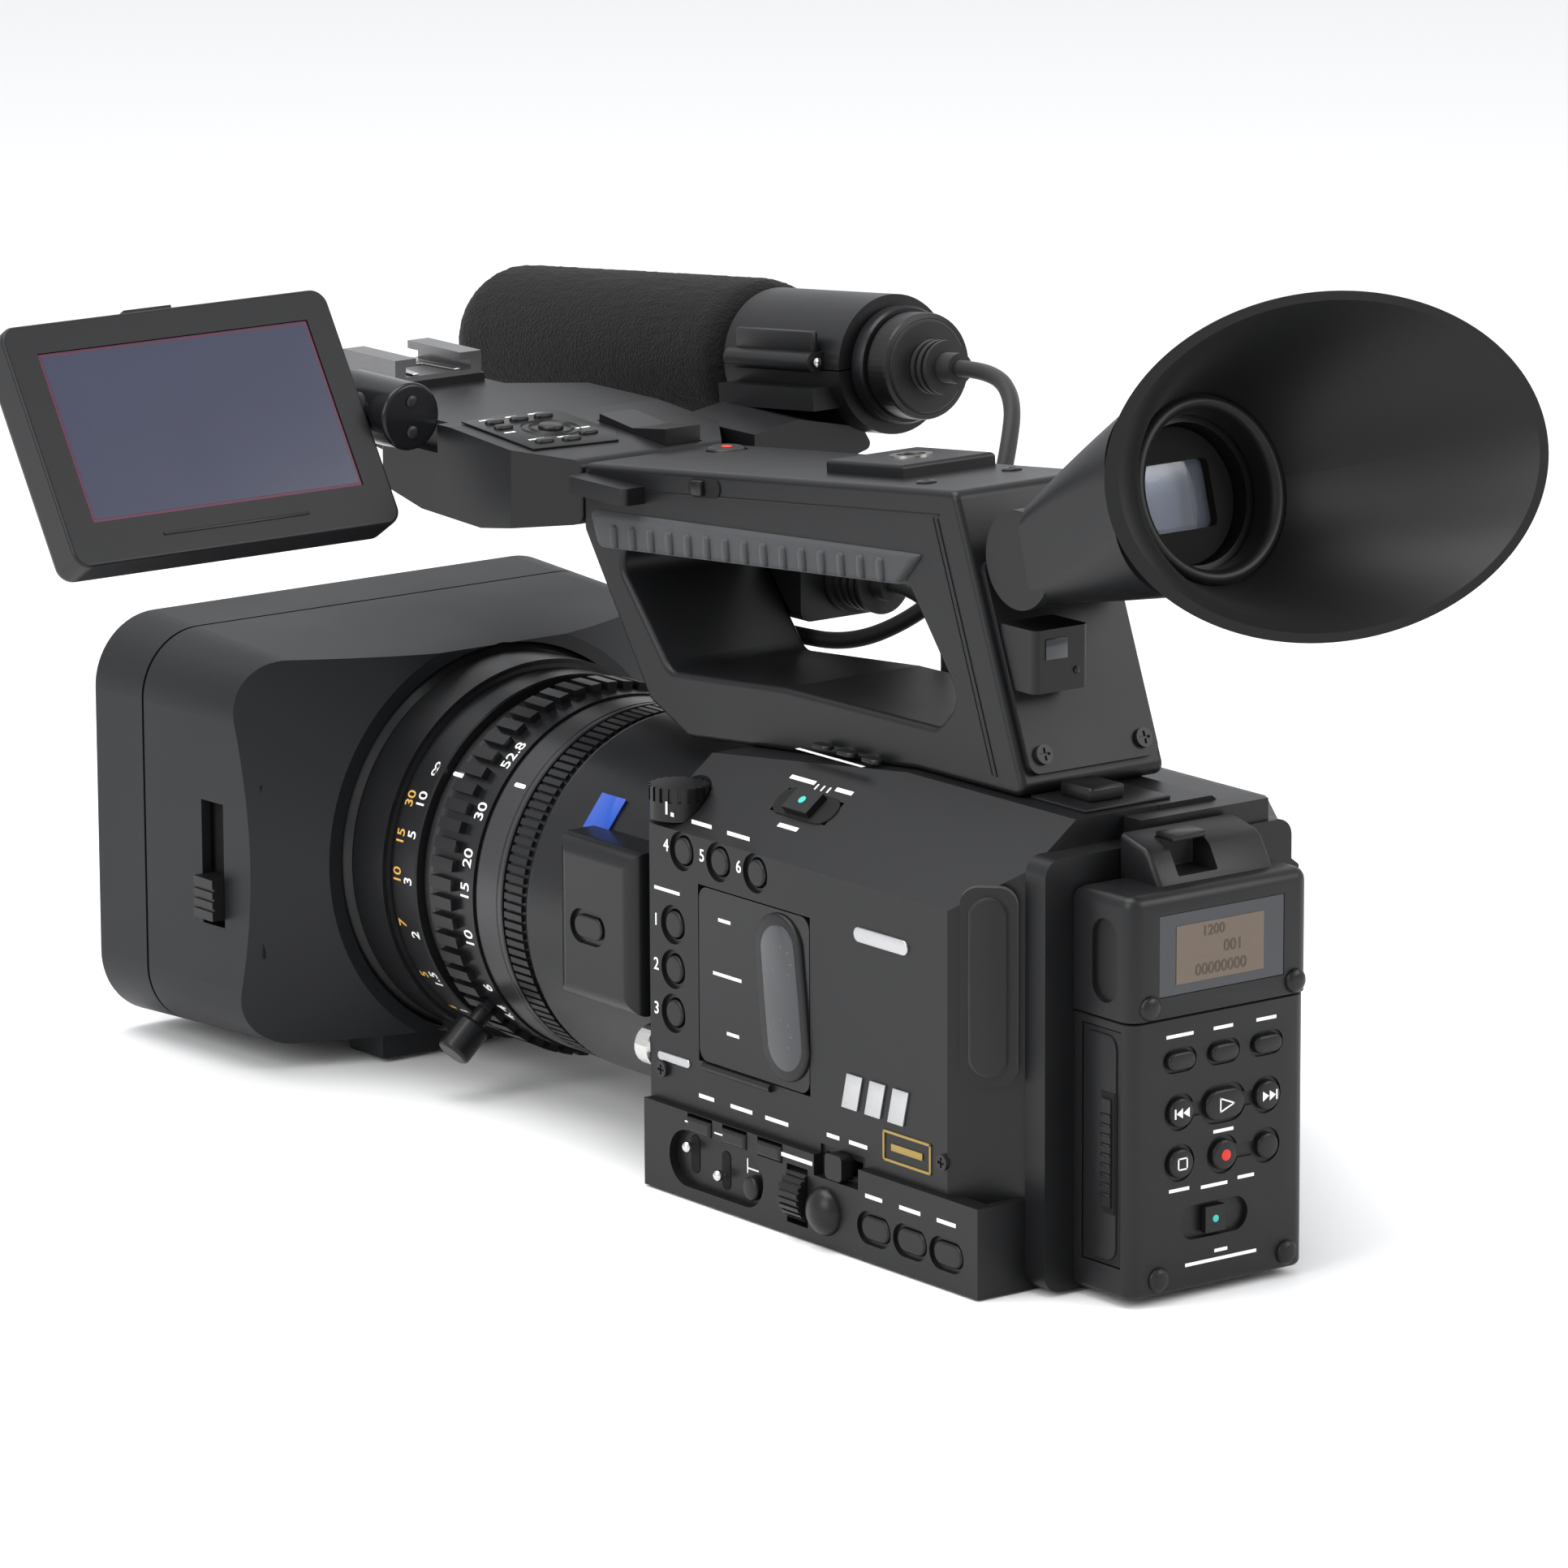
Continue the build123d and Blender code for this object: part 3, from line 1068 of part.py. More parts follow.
def menu_dial():
    """Ribbed wheel that turns about Y."""
    wheel = rod(DIAL_R, (DIAL_X, DIAL_Y - DIAL_W / 2, DIAL_Z), (DIAL_X, DIAL_Y + DIAL_W / 2, DIAL_Z))
    count = 24
    cuts = [Pos(DIAL_X, DIAL_Y, DIAL_Z) * Rot(0, 360 / count * i, 0) * Pos(0, 0, DIAL_R)
            * Box(0.7, DIAL_W + 1, 1.0) for i in range(count)]
    return wheel - cuts


def auto_switch():
    """Slide switch on the edge of the base."""
    base_edge = BODY_LEFT - BASE_STEP
    knob = span((base_edge - 0.8, BODY_LEFT + 0.4), (AUTO_Y - 3, AUTO_Y + 3), (16.6, 22.4))
    knob = soften(knob, Axis.X, 1.2)
    stem = span((BODY_LEFT, base_edge + BASE_WALL + 0.5), (AUTO_Y - 2, AUTO_Y + 2), (18.0, 21.0))
    return knob + stem


def power_switch():
    """Slide switch on the left shoulder."""
    plane = shoulder_plane(POWER_Y)
    knob = plane * Pos(0, 0, 0.6) * Box(9, 6.2, 3)
    stem = plane * Pos(0, 0, -2) * Box(6, 2.8, 4)
    return knob + stem


def nd_wheel():
    """Filter wheel at the front corner."""
    x, y = ND_AT
    wheel = rod(ND_R, (x, y, ND_Z[0]), (x, y, ND_Z[1]))
    count = 20
    cuts = [Pos(x, y, ND_Z[1] - 1.5) * Rot(0, 0, 360 / count * i) * Pos(ND_R, 0, 0)
            * Box(1.2, 0.9, 3.4) for i in range(count)]
    return wheel - cuts


def audio_cover():
    """Door over the audio levels, hinged along its lower edge."""
    door = span((BODY_LEFT, BODY_LEFT + 1.8), AUDIO_Y, AUDIO_Z)
    door = soften(door, Axis.X, 3)
    return door


def handle_rec_button():
    """Round button on the handle."""
    z = handle_top_z(REC_KEY_AT[1])
    key = rod(REC_KEY_R, (*REC_KEY_AT, z - 3.0), (*REC_KEY_AT, z + 0.8))
    return fillet(key.edges().filter_by(GeomType.CIRCLE).sort_by(Axis.Z)[-1], 0.8)


def handle_zoom_rocker():
    """Rocks about a cross axis at its middle."""
    x, y = ROCKER_AT
    half = ROCKER_LEN / 2
    low = ROCKER_FLOOR + 2.2
    return along_x([(y - half, low + 0.8), (y, low), (y + half, low + 0.8), (y + half, low + 5.2),
                    (y, low + 3.6), (y - half, low + 5.2)], (x - 5, x + 5))


def grip_zoom_rocker():
    """Larger rocker on top of the hand grip."""
    x, y = GRIP_ROCKER
    half = 17.0
    low = GRIP_TOP - 3.6
    return along_x([(y - half, low + 1.2), (y, low), (y + half, low + 1.2), (y + half, low + 6.4),
                    (y, low + 4.6), (y - half, low + 6.4)], (x - 5.5, x + 5.5))


def rec_trigger():
    """Thumb button on the slanted back of the hand grip."""
    key = on_slant(TRIGGER_R, -5, 1.6)
    return fillet(key.edges().filter_by(GeomType.CIRCLE).sort_by(Axis.X)[-1], 1.2)


def screw(at, out, radius=2.4):
    """A cross-head screw head standing on a surface."""
    plane = Plane(origin=at, z_dir=out)
    head = extrude(plane * Circle(radius), 1.0)
    head -= [plane * Pos(0, 0, 0.9) * Rot(0, 0, a) * Box(radius * 1.3, 0.6, 0.8) for a in (0, 90)]
    return head


def screws():
    """Screw heads on the post cover, the recorder and the left side."""
    run = Vector(0, HANDLE_REAR_TOP - HANDLE_REAR_FOOT, HANDLE_TOP_REAR - BODY_TOP).normalized()
    out = Vector(0, -run.Z, run.Y)
    foot = Vector(0, HANDLE_REAR_FOOT, BODY_TOP) + out * (SEAM / 2 + COVER_T) + run * 9
    heads = [screw(foot + Vector(x, 0, 0), out, 2.2) for x in (-14, 14)]
    for x, z in [(REC_LEFT + 8, 5.8), (REC_RIGHT - 5.5, 5.8), (REC_LEFT + 5, 66.5),
                 (REC_RIGHT - 4, 66.5)]:
        heads.append(screw((x, REC_REAR, z), (0, -1, 0), 2.2))
    for y, z in [(-110, 28), (-8, 28)]:
        heads.append(screw((BODY_LEFT, y, z), (-1, 0, 0), 1.8))
    return heads


NODES = {
    "bottom_plate": bottom_plate,
    "left_cover": left_cover,
    "right_cover": right_cover,
    "lens_barrel": lens_barrel,
    "front_lens": front_lens,
    "sensor_block": sensor_block,
    "main_board": main_board,
    "focus_ring": focus_ring,
    "zoom_ring": zoom_ring,
    "iris_ring": iris_ring,
    "lens_hood": lens_hood,
    "shutter_lever": shutter_lever,
    "shutter_blade_upper": lambda: shutter_blade(1),
    "shutter_blade_lower": lambda: shutter_blade(-1),
    "handle": handle,
    "handle_grip_pad": handle_grip_pad,
    "rear_post_cover": rear_post_cover,
    "front_unit": front_unit,
    "accessory_shoe": accessory_shoe,
    "lcd_hinge": lcd_hinge,
    "lcd_case": lcd_case,
    "lcd_screen": lcd_screen,
    "viewfinder_tube": viewfinder_tube,
    "eyepiece_lens": eyepiece_lens,
    "eyecup": eyecup,
    "mic_body": mic_body,
    "mic_windscreen": mic_windscreen,
    "mic_holder": mic_holder,
    "mic_clamp": mic_clamp,
    "mic_plug": mic_plug,
    "input_box": input_box,
    "cable_plug": cable_plug,
    "mic_cable": mic_cable,
    "hand_grip": hand_grip,
    "tape_door": tape_door,
    "grip_strap": grip_strap,
    "rear_cradle": rear_cradle,
    "recorder_case": recorder_case,
    "card_door": card_door,
    "recorder_display": recorder_display,
    "recorder_keys": recorder_keys,
    "recorder_power_switch": recorder_power_switch,
    "terminal_cover": terminal_cover,
    "base_keys": base_keys,
    "menu_dial": menu_dial,
    "auto_switch": auto_switch,
    "power_switch": power_switch,
    "nd_wheel": nd_wheel,
    "audio_cover": audio_cover,
    "handle_rec_button": handle_rec_button,
    "handle_zoom_rocker": handle_zoom_rocker,
    "grip_zoom_rocker": grip_zoom_rocker,
    "rec_trigger": rec_trigger,
    "screws": screws,
}
for number, (y, z) in enumerate(ASSIGN_FRONT + ASSIGN_TOP, start=1):
    NODES[f"assign_button_{number}"] = lambda y=y, z=z: round_key(y, z)

for name, make in NODES.items():
    shape = make()
    if isinstance(shape, list):
        shape = Compound(children=shape)
    export_step(shape, f"parts/{name}.step")
    print(name, len(shape.solids()), round(shape.volume, 1))
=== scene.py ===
# %% [markdown]
# A camcorder is a small machine of many moulded covers, rings and keys. The engineering
# model gives every solid its true size and place. This lesson dresses it: each cover gets
# a finish, and the pieces too fine for the solid model are made here, one by one.
# %% Load the frame
import json
import math

import bpy
from mathutils import Matrix, Vector


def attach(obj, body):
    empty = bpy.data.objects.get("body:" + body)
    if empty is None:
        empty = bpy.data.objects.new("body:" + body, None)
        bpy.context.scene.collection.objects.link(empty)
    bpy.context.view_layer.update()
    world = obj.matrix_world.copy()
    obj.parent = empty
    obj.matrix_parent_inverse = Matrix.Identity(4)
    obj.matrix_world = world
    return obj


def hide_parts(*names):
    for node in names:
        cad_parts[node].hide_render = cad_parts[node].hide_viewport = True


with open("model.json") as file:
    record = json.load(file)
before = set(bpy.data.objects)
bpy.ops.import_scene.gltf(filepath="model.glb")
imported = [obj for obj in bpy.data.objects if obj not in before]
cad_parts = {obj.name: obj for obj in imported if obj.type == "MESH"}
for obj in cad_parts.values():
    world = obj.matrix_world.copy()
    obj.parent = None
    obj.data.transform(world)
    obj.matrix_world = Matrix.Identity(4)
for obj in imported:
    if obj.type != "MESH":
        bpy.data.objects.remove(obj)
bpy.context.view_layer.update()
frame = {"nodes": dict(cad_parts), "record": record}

# %% [markdown]
# The camcorder is drawn in millimetres, and Blender works in metres. The lens axis runs
# along Y at one height, and nearly every piece is placed from it.
# %% Shared sizes and small helpers
MM = 0.001
LENS_Z = 51.0
BODY_LEFT = -48.0
BASE_LEFT = -50.0
BACK_Y = -150.0


def mm(*values):
    """Millimetres to a vector in metres."""
    return Vector(values) * MM


def clear():
    """Leave edit mode and let go of everything."""
    if bpy.context.object and bpy.context.object.mode != "OBJECT":
        bpy.ops.object.mode_set(mode="OBJECT")
    bpy.ops.object.select_all(action="DESELECT")


def edit():
    bpy.ops.object.mode_set(mode="EDIT")
    bpy.ops.mesh.select_mode(type="VERT")


def frame_at(point, right, out):
    """A place whose x runs along right and whose z points along out, at a point in mm."""
    z = Vector(out).normalized()
    x = Vector(right)
    x = (x - z * x.dot(z)).normalized()
    y = z.cross(x)
    turn = Matrix((x, y, z)).transposed().to_4x4()
    return Matrix.Translation(mm(*point)) @ turn


LEFT_SIDE = lambda y, z, x=BODY_LEFT: frame_at((x, y, z), (0, -1, 0), (-1, 0, 0))
BACK_SIDE = lambda x, z, y=BACK_Y: frame_at((x, y, z), (1, 0, 0), (0, -1, 0))
print("helpers ready")

# %% [markdown]
# Every finish is built from nodes that read Object coordinates, so grain keeps its real
# size on any piece. Moulded plastic is a dark colour with a fine grain in its height and a
# slow change in its roughness, because a tool-textured cover is never evenly dull.
# %% Finishes: a maker of moulded surfaces
FINISH = {}


def finish(name, colour, rough, grain=0.35, depth=0.02, drift=0.06, metal=0.0, sheen=0.0,
           coat=0.0, stretch=(1, 1, 1), speck=0.12, gloss=0.26):
    """A procedural surface. grain is its size in mm, depth its height in mm."""
    m = bpy.data.materials.new(name)
    m.use_nodes = True
    nodes, links = m.node_tree.nodes, m.node_tree.links
    shader = nodes["Principled BSDF"]
    shader.inputs["Metallic"].default_value = metal
    shader.inputs["Specular IOR Level"].default_value = gloss
    shader.inputs["Sheen Weight"].default_value = sheen
    shader.inputs["Sheen Roughness"].default_value = 0.5
    shader.inputs["Coat Weight"].default_value = coat
    shader.inputs["Coat Roughness"].default_value = 0.12
    place = nodes.new("ShaderNodeTexCoord")
    scale = nodes.new("ShaderNodeMapping")
    scale.inputs["Scale"].default_value = stretch
    links.new(place.outputs["Object"], scale.inputs["Vector"])
    fine = nodes.new("ShaderNodeTexNoise")
    fine.inputs["Scale"].default_value = 1 / (grain * MM)
    fine.inputs["Detail"].default_value = 3
    links.new(scale.outputs["Vector"], fine.inputs["Vector"])
    slow = nodes.new("ShaderNodeTexNoise")
    slow.inputs["Scale"].default_value = 28
    slow.inputs["Detail"].default_value = 4
    links.new(place.outputs["Object"], slow.inputs["Vector"])
    dull = nodes.new("ShaderNodeMapRange")
    dull.inputs["To Min"].default_value = max(0.02, rough - drift)
    dull.inputs["To Max"].default_value = min(1.0, rough + drift)
    links.new(slow.outputs["Fac"], dull.inputs["Value"])
    links.new(dull.outputs["Result"], shader.inputs["Roughness"])
    tint = nodes.new("ShaderNodeMix")
    tint.data_type = "RGBA"
    tint.inputs["A"].default_value = (*[c * (1 - speck) for c in colour], 1)
    tint.inputs["B"].default_value = (*[min(1, c * (1 + speck)) for c in colour], 1)
    links.new(fine.outputs["Fac"], tint.inputs["Factor"])
    links.new(tint.outputs["Result"], shader.inputs["Base Color"])
    bump = nodes.new("ShaderNodeBump")
    bump.inputs["Distance"].default_value = depth * MM
    bump.inputs["Strength"].default_value = 1.0
    links.new(fine.outputs["Fac"], bump.inputs["Height"])
    links.new(bump.outputs["Normal"], shader.inputs["Normal"])
    FINISH[name] = m
    return m


finish("cover_plastic", (0.0062, 0.0064, 0.0070), 0.38, grain=0.30, depth=0.010, drift=0.05)
finish("gloss_plastic", (0.0060, 0.0062, 0.0070), 0.20, grain=0.8, depth=0.003, drift=0.05)
finish("hood_plastic", (0.0070, 0.0076, 0.0092), 0.46, grain=0.28, depth=0.012)
finish("recorder_plastic", (0.0072, 0.0074, 0.0080), 0.40, grain=0.42, depth=0.026, drift=0.04)
finish("black_rubber", (0.0045, 0.0045, 0.0049), 0.56, grain=0.25, depth=0.008, sheen=0.15)
finish("eyecup_rubber", (0.0036, 0.0037, 0.0041), 0.42, grain=0.5, depth=0.006, sheen=0.03)
finish("grey_rubber", (0.026, 0.028, 0.031), 0.55, grain=0.3, depth=0.015, sheen=0.2)
finish("windscreen_foam", (0.0022, 0.0020, 0.0018), 0.98, grain=0.75, depth=0.6, sheen=0.04, speck=0.5)
finish("strap_web", (0.009, 0.009, 0.0095), 0.85, grain=0.5, depth=0.12, sheen=0.4)
finish("ring_black", (0.0065, 0.0067, 0.0074), 0.30, grain=0.6, depth=0.004)
finish("band_satin", (0.060, 0.060, 0.062), 0.30, grain=0.25, depth=0.003, metal=0.75,
       stretch=(1, 0.05, 1))
finish("key_plastic", (0.0065, 0.0066, 0.0070), 0.34, grain=0.4, depth=0.006)
finish("bright_steel", (0.62, 0.61, 0.59), 0.24, grain=0.4, depth=0.004, metal=1.0,
       stretch=(1, 0.08, 1))
finish("badge_silver", (0.45, 0.45, 0.46), 0.28, grain=0.5, depth=0.002, metal=0.9)
finish("badge_gold", (0.30, 0.21, 0.06), 0.35, grain=0.5, depth=0.002, metal=0.4)
finish("badge_blue", (0.012, 0.060, 0.34), 0.35, grain=0.5, depth=0.002, coat=0.3)
finish("worn_steel", (0.20, 0.20, 0.205), 0.32, grain=0.4, depth=0.004, metal=1.0,
       stretch=(1, 0.08, 1))
finish("dark_metal", (0.030, 0.030, 0.031), 0.36, grain=0.4, depth=0.005, metal=0.6)
finish("board_green", (0.02, 0.11, 0.05), 0.4, grain=1.2, depth=0.01, speck=0.4)
finish("monitor_glass", (0.020, 0.023, 0.047), 0.16, grain=2.0, depth=0.001, coat=0.6, speck=0.04)
finish("monitor_edge", (0.085, 0.018, 0.040), 0.3, grain=1.0, depth=0.001)
finish("window_black", (0.010, 0.012, 0.016), 0.12, grain=1.0, depth=0.001, coat=0.6)
finish("display_amber", (0.115, 0.088, 0.066), 0.30, grain=1.0, depth=0.001, speck=0.05)
finish("display_digit", (0.062, 0.046, 0.034), 0.35, grain=1.0, depth=0.001)
finish("print_white", (0.78, 0.78, 0.77), 0.5, grain=0.3, depth=0.002, speck=0.03)
finish("print_orange", (0.58, 0.33, 0.07), 0.5, grain=0.3, depth=0.002, speck=0.03)
finish("dot_red", (0.55, 0.03, 0.02), 0.35, grain=0.4, depth=0.002)
finish("dot_teal", (0.05, 0.42, 0.38), 0.35, grain=0.4, depth=0.002)
finish("shadow_black", (0.004, 0.004, 0.004), 0.8, grain=0.5, depth=0.002)
print("finishes:", len(FINISH))

# %% [markdown]
# Glass is the one finish that lets light through. The front element and the eyepiece carry
# a thin coating, so their reflections lean towards blue and violet.
# %% Finish: coated glass
glass = finish("coated_glass", (0.55, 0.60, 0.72), 0.04, grain=3.0, depth=0.0005, drift=0.02, speck=0.02,
               gloss=0.5)
glass_shader = glass.node_tree.nodes["Principled BSDF"]
glass_shader.inputs["Transmission Weight"].default_value = 0.85
glass_shader.inputs["IOR"].default_value = 1.5
print("glass ready")

# %% [markdown]
# Each solid of the frame takes the finish of the real part. The table of slots in the
# record says which family a solid belongs to, so one short map dresses them all.
# %% Dress the frame's solids
SLOT_FINISH = {
    "satin_plastic": "cover_plastic", "gloss_panel": "gloss_plastic",
    "hood_plastic": "hood_plastic", "recorder_plastic": "recorder_plastic",
    "rubber_black": "black_rubber", "rubber_grey": "grey_rubber", "foam": "windscreen_foam",
    "webbing": "strap_web", "lens_metal": "ring_black", "steel": "worn_steel",
    "dark_metal": "dark_metal", "lens_glass": "coated_glass", "screen_glass": "monitor_glass",
    "display_glass": "window_black", "board_green": "board_green", "key_black": "key_plastic",
    "red_key": "dot_red",
}
NODE_SLOT = {part["node"]: part["material_slot"] for part in frame["record"]["subparts"]}


def dress(thing, name):
    thing.data.materials.clear()
    thing.data.materials.append(FINISH[name])


for name, node in frame["nodes"].items():
    dress(node, SLOT_FINISH[NODE_SLOT[name]])
dress(frame["nodes"]["eyecup"], "eyecup_rubber")
print("dressed", len(frame["nodes"]), "solids")

# %% [markdown]
# New pieces all end the same way: the shape is placed, its edges are smoothed, and it is
# told which moving body it rides on. One helper does this, so no piece is forgotten.
# %% Helpers that finish and start a piece
SLOT_OF = {v: k for k, v in SLOT_FINISH.items()}
SLOT_OF.update({"eyecup_rubber": "rubber_black", "band_satin": "lens_metal",
                "window_black": "display_glass"})


def keep(name, body, finish_name, place=None, smooth=35):
    """Name, place, smooth and dress the piece in hand, and let it ride on a body."""
    piece = bpy.context.object
    clear()
    piece.select_set(True)
    bpy.context.view_layer.objects.active = piece
    if place is not None:
        piece.matrix_world = place @ piece.matrix_world
    bpy.ops.object.transform_apply(location=True, rotation=True, scale=True)
    if smooth:
        bpy.ops.object.shade_smooth_by_angle(angle=math.radians(smooth))
    piece.name = piece.data.name = name
    dress(piece, finish_name)
    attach(piece, body)
    return piece


def bevelled(width, segments=2, angle=40):
    """Round the sharp edges of the piece in hand by a width in mm."""
    piece = bpy.context.object
    bpy.ops.object.modifier_add(type="BEVEL")
    rounder = piece.modifiers[-1]
    rounder.width = width * MM
    rounder.segments = segments
    rounder.limit_method = "ANGLE"
    rounder.angle_limit = math.radians(angle)
    bpy.ops.object.modifier_apply(modifier=rounder.name)


def block(size, round_by=0.5, at=(0, 0, 0), segments=2):
    """A rounded block, sizes in mm, standing on z = at[2]."""
    clear()
    bpy.ops.mesh.primitive_cube_add(size=1, location=mm(at[0], at[1], at[2] + size[2] / 2))
    bpy.context.object.scale = mm(*size)
    bpy.ops.object.transform_apply(location=True, rotation=True, scale=True)
    if round_by:
        bevelled(round_by, segments)
    return bpy.context.object


def turned(stations, sides=48, closed=False):
    """A turned piece from (radius, height) stations in mm, about z. A closed profile makes
    a hollow ring."""
    clear()
    radius, height = stations[0]
    bpy.ops.mesh.primitive_circle_add(vertices=sides, radius=radius * MM,
                                      fill_type="NOTHING" if closed else "NGON",
                                      location=mm(0, 0, height))
    bpy.ops.object.transform_apply(location=True, rotation=False, scale=False)
    edit()
    bpy.ops.mesh.select_all(action="SELECT")
    for next_radius, next_height in stations[1:]:
        bpy.ops.mesh.extrude_region_move(
            TRANSFORM_OT_translate={"value": mm(0, 0, next_height - height)})
        ratio = next_radius / radius
        bpy.ops.transform.resize(value=(ratio, ratio, 1),
                                 center_override=mm(0, 0, next_height))
        radius, height = next_radius, next_height
    bpy.ops.mesh.select_all(action="SELECT")
    if closed:
        bpy.ops.mesh.remove_doubles(threshold=0.002 * MM)
    bpy.ops.mesh.normals_make_consistent(inside=False)
    bpy.ops.object.mode_set(mode="OBJECT")
    return bpy.context.object


def pill(length, width, height, dome=0.5, sides=32):
    """A key with round ends, long along x, standing on z = 0, its top edge stepped in."""
    clear()
    bpy.ops.mesh.primitive_circle_add(vertices=sides, radius=width / 2 * MM, fill_type="NGON")
    piece = bpy.context.object
    reach = max(length - width, 0) / 2 * MM
    for vertex in piece.data.vertices:
        if abs(vertex.co.x) > 1e-7:
            vertex.co.x += math.copysign(reach, vertex.co.x)
    edit()
    bpy.ops.mesh.select_all(action="SELECT")
    bpy.ops.mesh.extrude_region_move(TRANSFORM_OT_translate={"value": mm(0, 0, height - dome)})
    steps = 3
    for step in range(steps):
        rise = math.sin((step + 1) / steps * math.pi / 2) - math.sin(step / steps * math.pi / 2)
        run = math.cos(step / steps * math.pi / 2) - math.cos((step + 1) / steps * math.pi / 2)
        bpy.ops.mesh.extrude_region_move(TRANSFORM_OT_translate={"value": mm(0, 0, rise * dome)})
        inner = run * dome * 2
        bpy.ops.transform.resize(value=(1 - inner / length, 1 - inner / width, 1))
    bpy.ops.mesh.select_all(action="SELECT")
    bpy.ops.mesh.normals_make_consistent(inside=False)
    bpy.ops.object.mode_set(mode="OBJECT")
    return piece


def joined(pieces):
    """Join loose pieces into the first one."""
    clear()
    for piece in pieces:
        piece.select_set(True)
    bpy.context.view_layer.objects.active = pieces[0]
    if len(pieces) > 1:
        bpy.ops.object.join()
    return bpy.context.object


def moved(piece, place):
    """Carry a loose piece to its place, in its mesh."""
    clear()
    piece.select_set(True)
    bpy.context.view_layer.objects.active = piece
    piece.matrix_world = place @ piece.matrix_world
    bpy.ops.object.transform_apply(location=True, rotation=True, scale=True)
    return piece


def cut(target, cutter):
    """Cut one loose piece out of another."""
    clear()
    target.select_set(True)
    bpy.context.view_layer.objects.active = target
    bpy.ops.object.modifier_add(type="BOOLEAN")
    saw = target.modifiers[-1]
    saw.operation = "DIFFERENCE"
    saw.object = cutter
    saw.solver = "EXACT"
    bpy.ops.object.modifier_apply(modifier=saw.name)
    bpy.data.objects.remove(cutter, do_unlink=True)
    return target


print("workshop helpers ready")

# %% [markdown]
# The windscreen is a sleeve of open foam pushed over the microphone. It is turned from a
# circle, station by station, then its skin is roughened with a fine cloud pattern so that
# the outline is soft, as foam is.
# %% Foam windscreen
MIC_PITCH = math.radians(-5.5)
MIC_PLACE = Matrix.Translation(mm(68, 101, 163)) @ Matrix.Rotation(MIC_PITCH, 4, "X") \
    @ Matrix.Rotation(-math.pi / 2, 4, "X")
FOAM_R = 18.7
foam_profile = [(10.6, 1.0), (14.0, 1.0), (16.6, 2.2), (18.2, 4.6), (FOAM_R, 8.0)]
foam_profile += [(FOAM_R, 8.0 + 4.0 * step) for step in range(1, 24)]
for step in range(1, 10):
    turn = step / 10 * math.pi / 2
    foam_profile.append((FOAM_R - 14 * (1 - math.cos(turn)), 103.0 + 14.0 * math.sin(turn)))
foam_profile += [(3.0, 117.0), (0.5, 117.2)]
turned(foam_profile, sides=96)
edit()
bpy.ops.mesh.select_all(action="SELECT")
bpy.ops.mesh.subdivide(number_cuts=1)
bpy.ops.object.mode_set(mode="OBJECT")
foam_clouds = bpy.data.textures.new("foam_clouds", "CLOUDS")
foam_clouds.noise_scale = 1.4 * MM
foam_clouds.noise_depth = 1
bpy.ops.object.modifier_add(type="DISPLACE")
foam_skin = bpy.context.object.modifiers[-1]
foam_skin.texture = foam_clouds
foam_skin.strength = 0.5 * MM
foam_skin.mid_level = 0.9
bpy.ops.object.modifier_apply(modifier=foam_skin.name)
windscreen = keep("foam_windscreen", "body", "windscreen_foam", MIC_PLACE, smooth=80)
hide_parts("mic_windscreen")
print("foam windscreen:", len(windscreen.data.polygons), "faces")

# %% [markdown]
# The cable leaves the microphone's boot, drops past the handle, runs through a clip and
# loops back to the plug. A NURBS curve through the route's points keeps its real length.
# %% Sound cable
CABLE_D = 4.0
ROUTE = [(68, 31.322, 169.709), (68, 18.382, 170.955), (63.5, 5.5, 166.5), (55, -3, 157),
         (47, -8, 144), (40, -6, 131), (33, 3.5, 119.5), (27.5, 21, 111), (24.5, 42, 110.8),
         (24.6, 62, 111.2), (24.5, 78, 111), (30.8, 86, 106), (39.7, 86, 99), (46, 78, 94),
         (45.5, 60, 92.8), (43, 42, 92.5), (39, 26, 93.6), (36.2, 12, 95), (36, 3.5, 95.2),
         (36, -5.2, 103), (36, -5.2, 116.2), (36, 3.5, 125), (36, 15, 125)]
cable_curve = bpy.data.curves.new("sound_cable", "CURVE")
cable_curve.dimensions = "3D"
cable_curve.bevel_depth = CABLE_D / 2 * MM
cable_curve.bevel_resolution = 6
cable_curve.resolution_u = 12
cable_curve.use_fill_caps = True
cable_line = cable_curve.splines.new("NURBS")
cable_line.points.add(len(ROUTE) - 1)
for point, spot in zip(cable_line.points, ROUTE):
    point.co = (*mm(*spot), 1)
cable_line.order_u = 3
cable_line.use_endpoint_u = True
cable = bpy.data.objects.new("sound_cable", cable_curve)
bpy.context.scene.collection.objects.link(cable)
dress(cable, "black_rubber")
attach(cable, "body")
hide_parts("mic_cable")
print("cable of", len(ROUTE), "points")

# %% [markdown]
# The focus ring has a smooth number band and a wide rubber with four rows of small blocks.
# The ring is turned first. Then the blocks are the faces of a fine sleeve, chosen by their
# place round the ring and along it, and pushed outwards.
# %% Focus ring with its waffle rubber
LENS_PLACE = Matrix.Translation(mm(0, 0, LENS_Z)) @ Matrix.Rotation(-math.pi / 2, 4, "X")
FOCUS_BACK, FOCUS_BAND_END, FOCUS_FRONT = 95.2, 105.0, 119.3
BLOCK_ROWS, BLOCKS_ROUND = 4, 76
ring_profile = [(38.3, FOCUS_BACK), (43.6, FOCUS_BACK), (44.0, FOCUS_BACK + 0.4),
                (44.0, FOCUS_BAND_END - 0.5), (43.6, FOCUS_BAND_END - 0.1),
                (43.6, FOCUS_BAND_END + 0.3), (44.9, FOCUS_BAND_END + 0.6)]
row_pitch = (FOCUS_FRONT - FOCUS_BAND_END - 1.2) / BLOCK_ROWS
